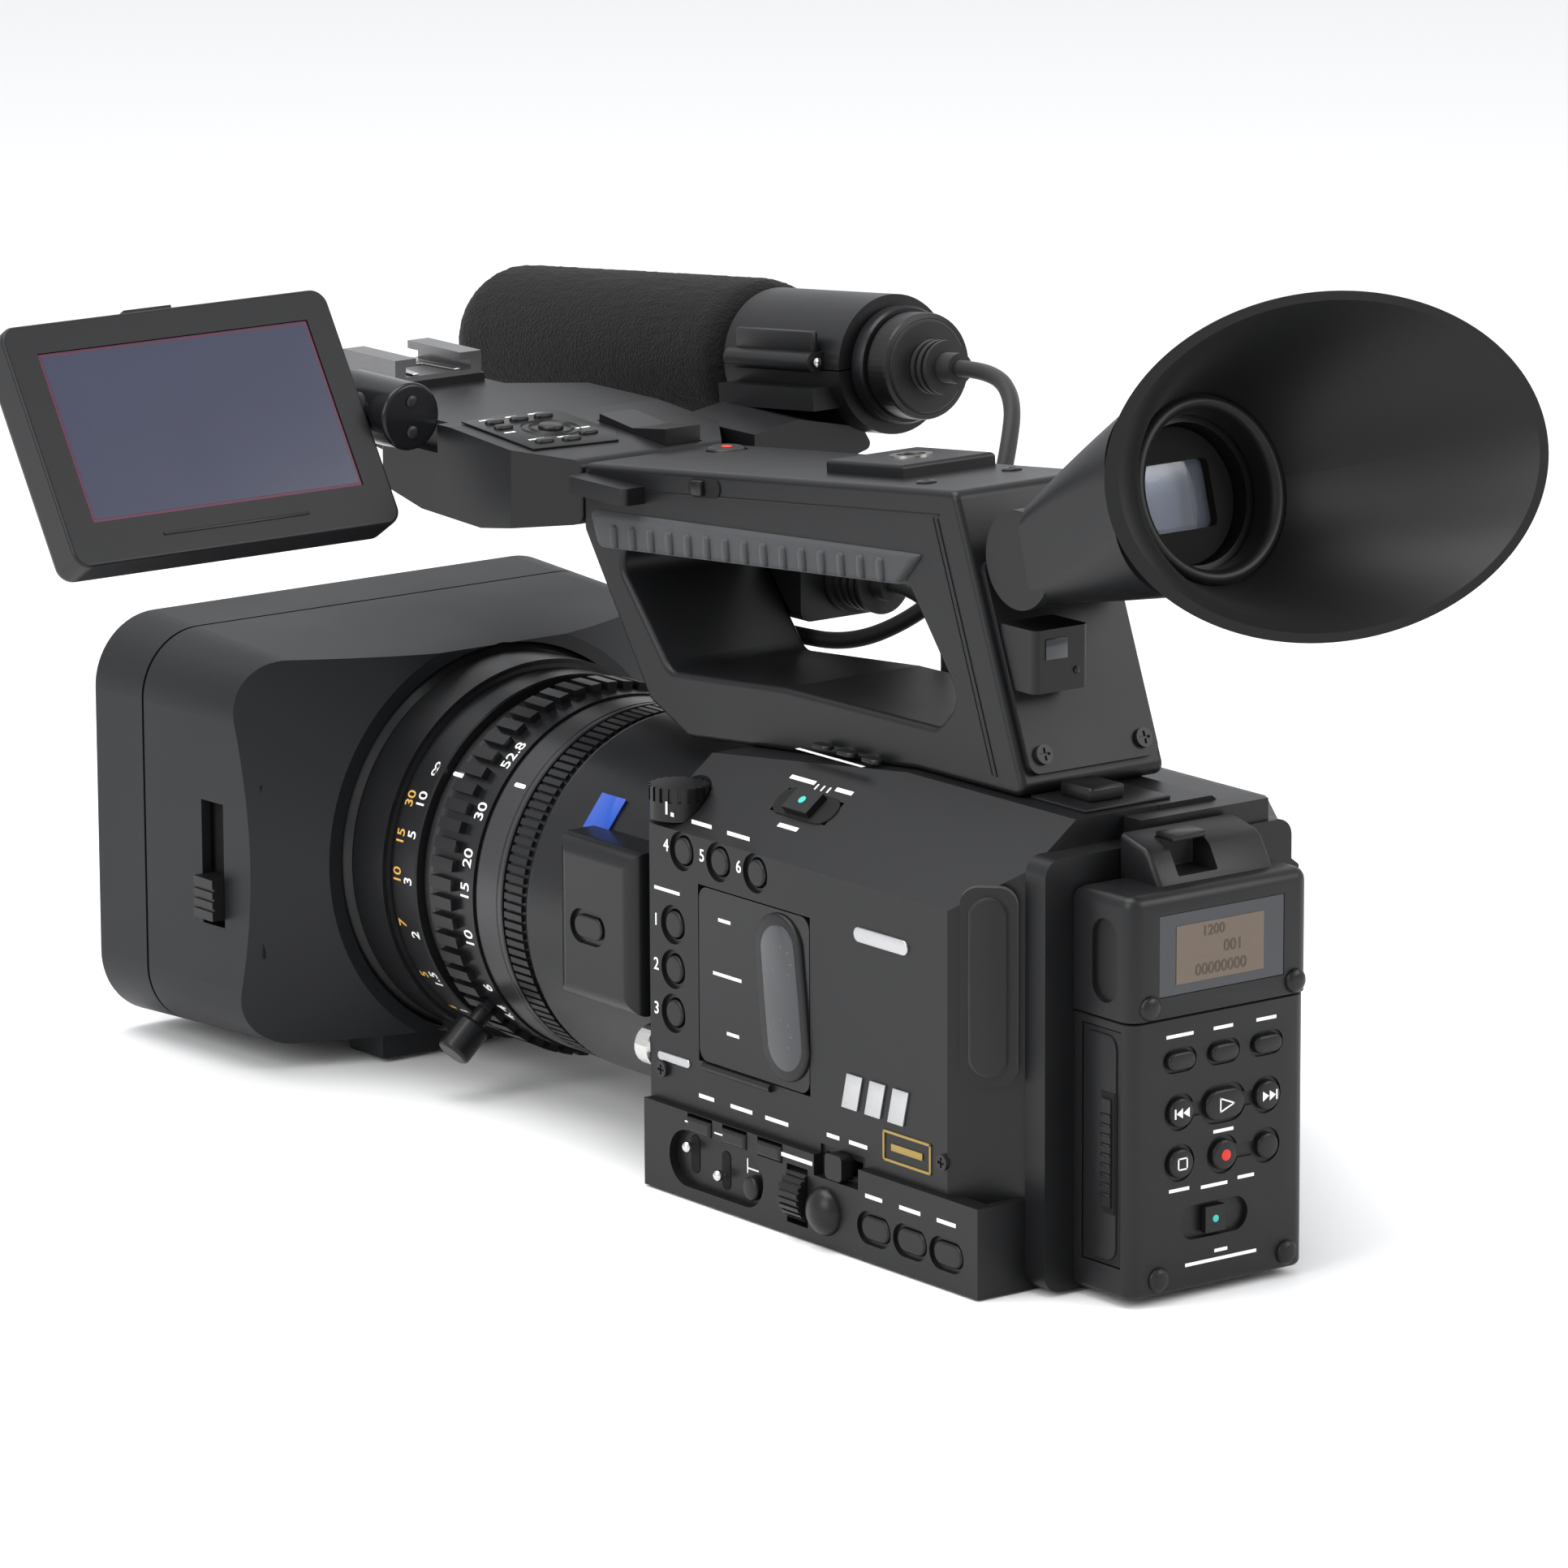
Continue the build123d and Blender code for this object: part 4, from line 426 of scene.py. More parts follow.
for row in range(BLOCK_ROWS):
    start = FOCUS_BAND_END + 0.9 + row * row_pitch
    ring_profile += [(44.9, start), (44.9, start + row_pitch * 0.74)]
ring_profile += [(44.9, FOCUS_FRONT - 0.2), (44.4, FOCUS_FRONT), (38.3, FOCUS_FRONT),
                 (38.3, FOCUS_BACK)]
turned(ring_profile, sides=BLOCKS_ROUND * 4, closed=True)
focus_mesh = bpy.context.object.data
edit()
bpy.ops.mesh.select_mode(type="FACE")
bpy.ops.mesh.select_all(action="DESELECT")
bpy.ops.object.mode_set(mode="OBJECT")
for face in focus_mesh.polygons:
    spot = face.center
    along = (spot.z / MM - FOCUS_BAND_END - 0.9) / row_pitch
    sector = math.atan2(spot.y, spot.x) / (2 * math.pi) * BLOCKS_ROUND % 1
    outward = math.hypot(face.normal.x, face.normal.y) > 0.9
    in_row = 0 < along < BLOCK_ROWS and along % 1 < 0.74
    face.select = outward and in_row and sector < 0.75 and math.hypot(spot.x, spot.y) > 44.5 * MM
edit()
bpy.ops.mesh.select_mode(type="FACE")
bpy.ops.mesh.extrude_region_shrink_fatten(TRANSFORM_OT_shrink_fatten={"value": 1.0 * MM})
bpy.ops.object.mode_set(mode="OBJECT")
focus = keep("focus_waffle_ring", "focus_ring", "ring_black", LENS_PLACE, smooth=30)
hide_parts("focus_ring")
print("focus ring:", len(focus.data.polygons), "faces")

# %% [markdown]
# The two satin bands between the rings are bright turned metal. Each is a thin sleeve with
# a fine step at both edges, set just over the barrel.
# %% Satin bands and the marks on them
for name, radius, start, end in [("rear_satin_band", 42.4, 62.6, 72.8),
                                 ("front_satin_band", 41.6, 89.1, 94.7)]:
    turned([(radius - 0.4, start), (radius + 0.12, start + 0.3), (radius + 0.12, start + 1.4),
            (radius - 0.1, start + 1.6), (radius - 0.1, start + 2.0), (radius + 0.12, start + 2.2),
            (radius + 0.12, end - 0.4), (radius - 0.4, end), (radius - 0.4, start)],
           sides=160, closed=True)
    keep(name, "body", "band_satin", LENS_PLACE, smooth=25)
print("two satin bands")


def lens_point(radius, angle, y):
    """A point on the lens, its angle in degrees from straight up towards the left."""
    turn = math.radians(angle)
    return (-radius * math.sin(turn), y, LENS_Z + radius * math.cos(turn))


def lens_frame(radius, angle, y):
    """A place on the lens whose x reads upwards round the ring."""
    turn = math.radians(angle)
    out = (-math.sin(turn), 0, math.cos(turn))
    up = (math.cos(turn), 0, math.sin(turn))
    return frame_at(lens_point(radius, angle, y), up, out)


for name, radius, angle, y in [("front_index_mark", 41.78, 53, 91.9), ("rear_index_mark", 42.58, 51, 67.6)]:
    pill(4.2, 1.1, 0.16, dome=0.05)
    along_axis = lens_frame(radius, angle, y) @ Matrix.Rotation(math.radians(90), 4, "Z")
    keep(name, "body", "print_white", along_axis, smooth=0)
print("index marks")

# %% [markdown]
# The numbers are printed round the rings and read upwards. Each is typed as text, turned
# into a mesh, and wrapped on its ring by giving every point the ring's own curve.
# %% Numbers on the rings


def printed(words, size, radius, angle, y):
    """One number as a loose mesh, wrapped on a ring."""
    clear()
    bpy.ops.object.text_add()
    text = bpy.context.object
    text.data.body = words
    text.data.size = size * MM
    text.data.align_x = "CENTER"
    text.data.align_y = "CENTER"
    text.data.extrude = 0.03 * MM
    text.data.offset = 0.035 * MM
    bpy.ops.object.convert(target="MESH")
    mark = bpy.context.object
    for vertex in mark.data.vertices:
        bend = angle - math.degrees(vertex.co.x / (radius * MM))
        height = radius + 0.06 + vertex.co.z / MM
        vertex.co = mm(*lens_point(height, bend, y + vertex.co.y / MM))
    return mark


METRES = [("∞", 54), ("10", 64.5), ("5", 75.5), ("3", 90), ("2", 107.5), ("1.5", 124.5), ("1", 140)]
FEET = [("30", 65), ("15", 77), ("10", 89), ("7", 104.5), ("5", 123.5), ("4", 140)]
ZOOMS = [("52.8", 42), ("30", 62.5), ("20", 77.5), ("15", 88), ("10", 103.5), ("6", 121.5), ("4.4", 133)]
for name, body, ink, radius, y, size, rows in [
        ("focus_numbers_near", "focus_ring", "print_white", 44.0, 98.0, 4.3, METRES),
        ("focus_numbers_far", "focus_ring", "print_orange", 44.0, 102.3, 4.1, FEET),
        ("zoom_numbers", "zoom_ring", "print_white", 43.0, 76.3, 4.6, ZOOMS)]:
    joined([printed(words, size, radius, angle, y) for words, angle in rows])
    keep(name, body, ink, smooth=0)
    print(name, len(rows))

# %% [markdown]
# Outlines that are not round are drawn flat first: the points of a filled circle are moved
# to the outline's corners, and the face is pushed up to its thickness.
# %% More helpers: flat outlines, chosen edges, printed marks


def slab(points, depth, round_by=0.0, segments=2):
    """A flat outline of (x, y) points in mm, standing on z = 0."""
    clear()
    bpy.ops.mesh.primitive_circle_add(vertices=len(points), radius=1, fill_type="NGON")
    piece = bpy.context.object
    for vertex, (x, y) in zip(piece.data.vertices, points):
        vertex.co = mm(x, y, 0)
    edit()
    bpy.ops.mesh.select_all(action="SELECT")
    bpy.ops.mesh.extrude_region_move(TRANSFORM_OT_translate={"value": mm(0, 0, depth)})
    bpy.ops.mesh.select_all(action="SELECT")
    bpy.ops.mesh.normals_make_consistent(inside=False)
    bpy.ops.object.mode_set(mode="OBJECT")
    if round_by:
        bevelled(round_by, segments)
    return piece


def soft_edges(chosen, width, segments=4):
    """Round the edges of the piece in hand whose middle and direction pass a test."""
    piece = bpy.context.object
    edit()
    bpy.ops.mesh.select_mode(type="EDGE")
    bpy.ops.mesh.select_all(action="DESELECT")
    bpy.ops.object.mode_set(mode="OBJECT")
    for edge in piece.data.edges:
        a, b = (piece.data.vertices[i].co / MM for i in edge.vertices)
        edge.select = bool(chosen((a + b) / 2, (b - a).normalized()))
    bpy.ops.object.mode_set(mode="EDIT")
    bpy.ops.mesh.bevel(offset=width * MM, segments=segments, affect="EDGES")
    bpy.ops.object.mode_set(mode="OBJECT")
    return piece


def label(words, size, place):
    """Flat printed characters, as a loose mesh."""
    clear()
    bpy.ops.object.text_add()
    text = bpy.context.object
    text.data.body = words
    text.data.size = size * MM
    text.data.align_x = "CENTER"
    text.data.align_y = "CENTER"
    text.data.extrude = 0.03 * MM
    text.data.offset = 0.03 * MM
    bpy.ops.object.convert(target="MESH")
    mark = bpy.context.object
    mark.data.transform(Matrix.Translation((0, 0, 0.05 * MM)))
    return moved(mark, place)


def bars(place, widths, height=0.75, pitch=1.9):
    """Plain printed lines that stand where a legend would be."""
    made = []
    for row, width in enumerate(widths):
        made.append(moved(block((width, height, 0.06), 0, (0, -row * pitch, 0)), place))
    return made


print("outline helpers ready")

# %% [markdown]
# The clip-on recorder is two shells that meet at a seam, the upper one a hair proud. The
# keys sit in shallow wells. The shell is a block whose chosen edges are rounded, and the
# wells are cut by the keys' own outlines, grown a little.
# %% Recorder shell
REC_X = (-29.0, 20.5)
REC_MID = sum(REC_X) / 2
KEY_X = (-15.3, -3.2, 8.9)
KEY_Z = (53.7, 42.2, 30.9)
SEAM_Z = 63.4

lower = block((49.5, 19.0, 61.2), 0, (REC_MID, -140.5, 2.0))
soft_edges(lambda m, d: abs(d.z) > 0.9 and m.y < -145, 3.2)
soft_edges(lambda m, d: m.z < 2.1 and abs(d.z) < 0.1, 1.4, 3)
soft_edges(lambda m, d: m.z > 63.1 and abs(d.z) < 0.1, 0.25, 1)
WELLS = [(KEY_X[0], KEY_Z[0], 9.4, 5.6), (KEY_X[1], KEY_Z[0], 9.4, 5.6), (KEY_X[2], KEY_Z[0], 9.4, 5.6),
         (KEY_X[0], KEY_Z[1], 8.4, 8.4), (KEY_X[1], KEY_Z[1], 13.0, 8.8), (KEY_X[2], KEY_Z[1], 8.4, 8.4),
         (KEY_X[0], KEY_Z[2], 8.4, 8.4), (KEY_X[1], KEY_Z[2], 8.8, 8.8), (KEY_X[2], KEY_Z[2], 8.0, 8.0),
         ((KEY_X[0] + KEY_X[2]) / 2, KEY_Z[1], 24.0, 3.2),
         ((KEY_X[1] + KEY_X[2]) / 2, KEY_Z[2], 12.0, 3.2),
         (-5.5, 17.0, 19.0, 7.8)]
for x, z, length, width in WELLS:
    deep = 1.3 if z < 20 else 0.55
    cutter = moved(pill(length, width, 4, dome=0.3), BACK_SIDE(x, z, -150.0 + deep))
    cut(lower, cutter)
cut(lower, block((4, 13.1, 52.6), 0, (-29.0, -140.25, 8.7)))
recorder_lower = keep("recorder_lower_shell", "body", "recorder_plastic", smooth=30)

upper = block((50.1, 19.4, 27.4), 0, (REC_MID, -140.8, SEAM_Z + 0.25))
soft_edges(lambda m, d: abs(d.z) > 0.9 and m.y < -145, 3.4)
soft_edges(lambda m, d: m.z > 90 and abs(d.z) < 0.3, 2.6, 4)
cut(upper, moved(pill(18.5, 8.6, 6, dome=2.6), frame_at((-28.1, -141.6, 76.2), (0, 0, 1), (-1, 0, 0))))
cut(upper, block((34.9, 4.2, 18.1), 0.0, (-4.1, -150.0, 68.25)))
hump = moved(slab([(-145.5, 90), (-141.2, 97.4), (-139.5, 98.6), (-131.1, 100.8), (-131.1, 90)], 32, 1.1, 3),
             frame_at((-17, 0, 0), (0, 1, 0), (1, 0, 0)))
cut(hump, block((11, 9.4, 12), 0.4, (-5.5, -140.2, 92.4)))
joined([upper, hump])
recorder_upper = keep("recorder_upper_shell", "body", "recorder_plastic", smooth=30)
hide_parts("recorder_case")
print("recorder shells:", len(recorder_lower.data.polygons), len(recorder_upper.data.polygons))

# %% [markdown]
# The key tops are soft domed pills of three sizes, all from one helper. The signs on them
# are plain shapes: arrows, a square and dots.
# %% Recorder keys and their signs
tops = []
for x, z, length, width in [(KEY_X[0], KEY_Z[0], 7.6, 4.0), (KEY_X[1], KEY_Z[0], 7.6, 4.0),
                            (KEY_X[2], KEY_Z[0], 7.6, 4.0), (KEY_X[0], KEY_Z[1], 6.6, 6.6),
                            (KEY_X[1], KEY_Z[1], 10.8, 6.8), (KEY_X[2], KEY_Z[1], 6.6, 6.6),
                            (KEY_X[0], KEY_Z[2], 6.6, 6.6), (KEY_X[1], KEY_Z[2], 6.8, 6.8),
                            (KEY_X[2], KEY_Z[2], 5.8, 5.8)]:
    tops.append(moved(pill(length, width, 2.0, dome=0.7), BACK_SIDE(x, z, -149.2)))
joined(tops)
key_tops = keep("recorder_key_tops", "body", "key_plastic", smooth=50)
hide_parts("recorder_keys")
KEY_FACE = -151.22
signs = []
for x, way in ((KEY_X[0], -1), (KEY_X[2], 1)):
    for shift in (-1.0, 0.9):
        points = [(way * (shift - 0.8), -1.1), (way * (shift + 0.9), 0), (way * (shift - 0.8), 1.1)]
        signs.append(moved(slab(points, 0.06), BACK_SIDE(x, KEY_Z[1], KEY_FACE)))
    signs.append(moved(block((0.4, 2.2, 0.06), 0, (way * 2.1, 0, 0)), BACK_SIDE(x, KEY_Z[1], KEY_FACE)))
for a, b in (((-1.6, -1.5), (-1.6, 1.5)), ((-1.6, 1.5), (2.2, 0)), ((2.2, 0), (-1.6, -1.5))):
    run = Vector((b[0] - a[0], b[1] - a[1]))
    turn = Matrix.Rotation(math.atan2(run.y, run.x), 4, "Z")
    middle = Matrix.Translation(mm((a[0] + b[0]) / 2, (a[1] + b[1]) / 2, 0))
    signs.append(moved(block((run.length + 0.3, 0.32, 0.06), 0),
                       BACK_SIDE(KEY_X[1], KEY_Z[1], KEY_FACE) @ middle @ turn))
for x, y, w, h in ((0, 1.2, 2.7, 0.32), (0, -1.2, 2.7, 0.32), (1.2, 0, 0.32, 2.7), (-1.2, 0, 0.32, 2.7)):
    signs.append(moved(block((w, h, 0.06), 0, (x, y, 0)), BACK_SIDE(KEY_X[0], KEY_Z[2], KEY_FACE)))
signs += bars(BACK_SIDE(KEY_X[0], 59.2), [7.5]) + bars(BACK_SIDE(KEY_X[1], 59.2), [5.4])
signs += bars(BACK_SIDE(KEY_X[2], 59.2), [5.6]) + bars(BACK_SIDE(-3.0, 36.2), [5.6])
signs += bars(BACK_SIDE(KEY_X[0], 24.9), [5.6]) + bars(BACK_SIDE(3.4, 24.9), [4.6])
signs += bars(BACK_SIDE(-5.5, 24.4), [7.4]) + bars(BACK_SIDE(-3.5, 9.6), [3.6, 20.0])
joined(signs)
keep("recorder_signs", "body", "print_white", smooth=0)
turned([(1.25, 0), (1.25, 0.15), (0.9, 0.3)], sides=32)
keep("recorder_red_dot", "body", "dot_red", BACK_SIDE(KEY_X[1], KEY_Z[2], KEY_FACE + 0.02))
turned([(0.8, 0), (0.8, 0.12), (0.5, 0.2)], sides=24)
keep("recorder_switch_dot", "recorder_power_switch", "dot_teal", BACK_SIDE(-5.5, 17.0, -150.6))
print("recorder keys:", len(WELLS) - 3)

# %% [markdown]
# The recorder's window is black glass with a small amber display behind it. Faint digits
# show that it is a counter. Four screws are hidden under low domes, and the card door has a
# ribbed lock slider; its slot is a black strip of painted shade.
# %% Recorder window, screw domes, card door and latch
block((24.4, 12.8, 0.08), 0)
keep("recorder_display_glow", "body", "display_amber", BACK_SIDE(-4.6, 77.0, -150.44), smooth=0)
joined([label("001", 3.6, BACK_SIDE(-1.0, 77.2, -150.52)),
        label("00000000", 3.6, BACK_SIDE(-4.4, 72.9, -150.52)),
        label("1200", 3.2, BACK_SIDE(-6.5, 81.3, -150.52))])
keep("recorder_display_digits", "body", "display_digit", smooth=0)
domes = []
for x, z, y in ((-21.0, 5.8, -150.0), (15.0, 5.8, -150.0), (-24.0, 66.5, -150.5), (16.5, 66.5, -150.5)):
    domes.append(moved(turned([(2.7, -0.6), (2.7, 0.4), (2.3, 0.9), (1.5, 1.25), (0.5, 1.35)], sides=32),
                       BACK_SIDE(x, z, y)))
joined(domes)
keep("recorder_screw_domes", "body", "key_plastic", smooth=60)
block((0.7, 11.0, 50.0), 0, (-28.95, -139.9, 10.0))
soft_edges(lambda m, d: abs(d.x) > 0.9, 3.0, 4)
soft_edges(lambda m, d: m.x < -29.2 and abs(d.x) < 0.9, 0.3, 2)
keep("card_door_skin", "card_door", "recorder_plastic")
ribs = [block((0.5, 3.2, 0.7), 0.15, (-30.1, -143.0, 24.5 + 2.2 * step)) for step in range(9)]
joined(ribs)
keep("card_door_lock_ribs", "card_door", "key_plastic")
# the lock slot is a thin black strip of painted shade, not a cut
block((0.3, 4.6, 27.0), 0.1, (-29.35, -143.0, 20.5))
keep("card_door_lock_slot_shade", "card_door", "shadow_black")
block((9.6, 6.0, 1.6), 0.5, (-5.5, -138.2, 99.2))
keep("recorder_latch", "body", "key_plastic")
print("recorder finished")

# %% [markdown]
# The left side carries most of the controls. Its legends are plain printed lines, and the
# keys are numbered. The audio door has a smoked window over two small level dials.
# %% Left side: numbers, legends and the audio door
printed_left = []
for digit, y, z in (("1", -5.4, 62.1), ("2", -5.4, 51.8), ("3", -5.4, 41.6),
                    ("4", -9.4, 79.9), ("5", -22.8, 79.9), ("6", -36.4, 79.9)):
    printed_left.append(label(digit, 4.0, LEFT_SIDE(y, z)))
printed_left += bars(LEFT_SIDE(-9.6, 69.6), [9.5]) + bars(LEFT_SIDE(-31.0, 66.5), [4.5])
printed_left += bars(LEFT_SIDE(-32.0, 54.0), [10.5]) + bars(LEFT_SIDE(-34.0, 41.0), [4.5])
for y, width in ((-24, 5.6), (-37, 8.0), (-50, 8.4)):
    printed_left += bars(LEFT_SIDE(y, 24.6), [width], 0.9)
printed_left += bars(LEFT_SIDE(-70.5, 25.4), [4.5], 0.9) + bars(LEFT_SIDE(-79.5, 25.4), [6.5], 0.9)
for y, width in zip((-87.6, -100.4, -113.2), (6.0, 7.4, 6.6)):
    printed_left += bars(LEFT_SIDE(y, 15.4, BASE_LEFT), [width], 0.9)
printed_left += bars(LEFT_SIDE(-59, 18.4, BASE_LEFT), [13.0], 0.9)
for y, z, w, h in ((-21.0, 18.4, 5.0, 0.35), (-23.3, 18.9, 0.35, 1.4), (-35.0, 18.0, 11.0, 0.35),
                   (-37.0, 18.6, 0.35, 1.6), (-41.0, 11.5, 4.0, 0.35), (-38.9, 12.0, 0.35, 3.4)):
    printed_left.append(moved(block((w, h, 0.06), 0), LEFT_SIDE(y, z, BASE_LEFT if z > 16 else -47.8)))
joined(printed_left)
keep("left_side_printing", "body", "print_white", smooth=0)

pill(38.0, 17.0, 0.9, dome=0.7)
keep("audio_window_rim", "audio_cover", "cover_plastic",
     frame_at((BODY_LEFT, -52.6, 53.4), (0, 0.12, 1), (-1, 0, 0)), smooth=40)
pill(33.0, 12.6, 1.05, dome=0.25)
keep("audio_window_glass", "audio_cover", "window_black",
     frame_at((BODY_LEFT, -53.0, 53.4), (0, 0.12, 1), (-1, 0, 0)), smooth=40)
ticks = []
for centre in (61.5, 45.0):
    for step in range(7):
        turn = math.radians(-130 + step * 43)
        spot = frame_at((BODY_LEFT - 1.03, -53.0 + 3.6 * math.sin(turn), centre + 3.6 * math.cos(turn)),
                        (0, math.sin(turn), math.cos(turn)), (-1, 0, 0))
        ticks.append(moved(block((0.9, 0.25, 0.05), 0), spot))
joined(ticks)
keep("audio_dial_ticks", "audio_cover", "display_amber", smooth=0)
turned([(0.9, -12.5), (0.9, 12.5)], sides=24)
keep("audio_hinge_rod", "body", "key_plastic",
     frame_at((BODY_LEFT - 0.4, -36.0, 31.8), (0, 0, 1), (0, 1, 0)))
print("left side printed")

# %% [markdown]
# Two toggles with bright ball ends stand in slots of the base's long recess, beside a
# round key. Each slot is drawn as a flat black pill of painted shade. Behind them is a
# ribbed wheel with a smooth dome.
# %% Base controls
for number, (y, z, ball_z) in enumerate(((-19.5, 10.6, 12.6), (-31.0, 9.2, 8.4)), start=1):
    # the slot's darkness is painted shade: a flat black pill with no depth
    pill(9.0, 3.2, 0.25, dome=0.1)
    keep(f"base_toggle_slot_shade_{number}", "body", "shadow_black",
         frame_at((-47.75, y, z), (0, 0, 1), (-1, 0, 0)))
    turned([(0.55, 0), (0.5, 1.2), (0.9, 1.35), (1.25, 1.8),
            (1.35, 2.3), (1.15, 2.9), (0.6, 3.3), (0.1, 3.4)], sides=28)
    keep(f"base_toggle_{number}", "body", "bright_steel", LEFT_SIDE(y, ball_z, -47.9), smooth=60)
pill(5.6, 5.6, 2.0, dome=0.8)
keep("base_round_key", "body", "key_plastic", LEFT_SIDE(-42.0, 7.6, -47.9), smooth=60)
turned([(5.6, -0.6), (5.5, 0.4), (4.9, 1.6), (3.8, 2.6), (2.2, 3.3), (0.6, 3.6)], sides=40)
keep("menu_wheel_dome", "body", "key_plastic", LEFT_SIDE(-70.0, 8.6, BASE_LEFT), smooth=60)
turned([(3.4, 0), (4.7, 0.5), (4.7, 5.0), (3.9, 6.4), (0.7, 10.6)], sides=22)
keep("thumb_screw", "body", "bright_steel",
     frame_at((-44.2, -2.9, 31.4), (1, 0, 0), (0, 1, 0)), smooth=0)
print("base controls ready")

# %% [markdown]
# Small switches show what they do by a coloured dot or a mark. The dots ride on the moving
# knobs, so they follow every pose.
# %% Dots, wheel mark and shoulder switch
shoulder_out = Vector((-19, 0, 25)).normalized()
shoulder_mid = (-35.5, -45.0, 93.5)
# a flat black pill under the switch knob: painted shade for the switch's well
pill(21.0, 8.0, 0.35, dome=0.15)
keep("shoulder_switch_shade_plate", "body", "shadow_black", frame_at(shoulder_mid, (0, 1, 0), shoulder_out))
turned([(1.0, 0), (1.0, 0.15), (0.6, 0.25)], sides=24)
knob_top = Vector(shoulder_mid) + shoulder_out * 2.1
keep("shoulder_switch_dot", "power_switch", "dot_teal", frame_at(tuple(knob_top), (0, 1, 0), shoulder_out))
SHOULDER = frame_at(shoulder_mid, (0, -1, 0), shoulder_out)
joined([moved(block((width, deep, 0.06), 0, (x, y, 0)), SHOULDER)
        for x, y, width, deep in ((-2.2, 5.6, 0.5, 1.6), (0.0, 5.6, 0.5, 1.6), (2.2, 5.6, 0.5, 1.6),
                                  (-8.0, 6.4, 9.0, 1.1), (7.0, 6.4, 6.0, 1.1), (0.0, -6.6, 7.0, 1.1))])
keep("shoulder_printing", "body", "print_white", smooth=0)
wheel_out = Vector((-0.8, -0.45, 0)).normalized()
label("1", 4.2, frame_at((-42.5 + 7.0 * wheel_out.x, -7.0 + 7.0 * wheel_out.y, 88.6),
                         (0.45, -0.8, 0), wheel_out))
keep("filter_wheel_mark", "nd_wheel", "print_white", smooth=0)
turned([(1.3, 0), (1.3, 0.1), (0.9, 0.2)], sides=24)
keep("rec_key_red_dot", "handle_rec_button", "dot_red",
     frame_at((11, 46, 155.75), (1, 0, 0), (0, 0, 1)))
dress(frame["nodes"]["handle_rec_button"], "key_plastic")
pill(40, 8.8, 1.0, dome=0.8)
keep("terminal_flap_rib", "terminal_cover", "black_rubber",
     frame_at((-43.1, -119.1, 68), (0, 0, 1), (-1, -1, 0)), smooth=60)
print("marks ready")

# %% [markdown]
# The release key for the battery stands on a low plate at the back of the roof.
# %% Roof at the back
block((24, 19, 0.9), 0.4, (-6, -111.5, 102.9))
keep("battery_release_plate", "body", "cover_plastic")
block((9.5, 11, 3.4), 0.8, (-8, -111, 103.6), 3)
keep("battery_release_key", "body", "key_plastic")
print("battery release")

# %% [markdown]
# The handle's grip pad is grey rubber along the lower half of the bar. Its outline is a
# slab with soft edges, and the row of bumps is one pill copied along it.
# %% Handle: grip pad, switch, seams
PAD_HALF = 21.6
pad = moved(slab([(52.5, 134.9), (-59.5, 143.9), (-67.0, 151.8), (56.0, 143.2)], 2 * PAD_HALF, 1.6, 4),
            frame_at((-PAD_HALF, 0, 0), (0, 1, 0), (1, 0, 0)))
bumps = [pad]
for step in range(15):
    y = 45.5 - step * 7.1
    z = 138.6 + (45.5 - y) * 0.0805
    for side in (-1, 1):
        bumps.append(moved(pill(5.6, 2.6, 1.1, dome=0.8, sides=16),
                           frame_at((side * (PAD_HALF - 0.35), y, z), (0, -0.1 * side, 1), (side, 0, 0))))
joined(bumps)
grip_pad = keep("handle_rubber_pad", "body", "grey_rubber", smooth=45)
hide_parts("handle_grip_pad")


def handle_top(x, y, lift=0.0):
    """A place on the handle's sloping top, x to the right."""
    return frame_at((x, y, 153.5 + (60 - y) / 138 * 14 + lift), (1, 0, 0), (0, 0.1014, 0.9948))


HANDLE_HALF = 20.0
BAR_RUN = (0, -0.9948, 0.1014)
POST_RUN = (0, 0.361, 0.932)
seams = []
for side in (-1, 1):
    for size, round_by, y, z, run in (((126, 0.45, 0.22), 0.08, -10, 155.0, BAR_RUN),
                                      ((58, 0.45, 0.22), 0.08, -82.5, 133.5, POST_RUN),
                                      ((58, 0.3, 0.16), 0.06, -80.9, 133.5, POST_RUN)):
        seams.append(moved(block(size, round_by), frame_at((side * HANDLE_HALF, y, z), run, (side, 0, 0))))
joined(seams)
keep("handle_seams", "body", "cover_plastic", smooth=30)
# a flat black pill of painted shade where the slide switch's slot is
pill(12.0, 4.4, 0.3, dome=0.1)
keep("handle_slide_slot_shade", "body", "shadow_black",
     frame_at((-HANDLE_HALF - 0.05, 13, 154.6), (0, -0.995, 0.101), (-1, 0, 0)))
block((4.2, 3.4, 1.6), 0.4)
keep("handle_slide_knob", "body", "key_plastic",
     frame_at((-HANDLE_HALF - 0.1, 14.5, 154.5), (0, -0.995, 0.101), (-1, 0, 0)))
turned([(3.3, 0.2), (4.9, 0.2), (4.9, 0.7), (3.3, 0.7), (3.3, 0.2)], sides=40, closed=True)
keep("handle_thread_insert", "body", "bright_steel", handle_top(4, -32, 2.75))
for number, (x, y) in enumerate(((-12.0, -58.0), (12.0, -58.0)), start=1):
    turned([(2.3, -0.2), (2.3, 0.35), (1.9, 0.6), (0.9, 0.62), (0.8, 0.25), (0.3, 0.2)], sides=24)
    keep(f"handle_screw_{number}", "body", "dark_metal", handle_top(x, y), smooth=40)
block((6.0, 4.6, 0.25), 0.1)
keep("tally_window", "body", "window_black", BACK_SIDE(-11.6, 135.6, -103.0))
turned([(0.8, 0), (0.8, 0.3), (0.4, 0.5)], sides=20)
keep("tally_lamp", "body", "key_plastic", BACK_SIDE(-6.0, 130.2, -103.0))
print("handle details")

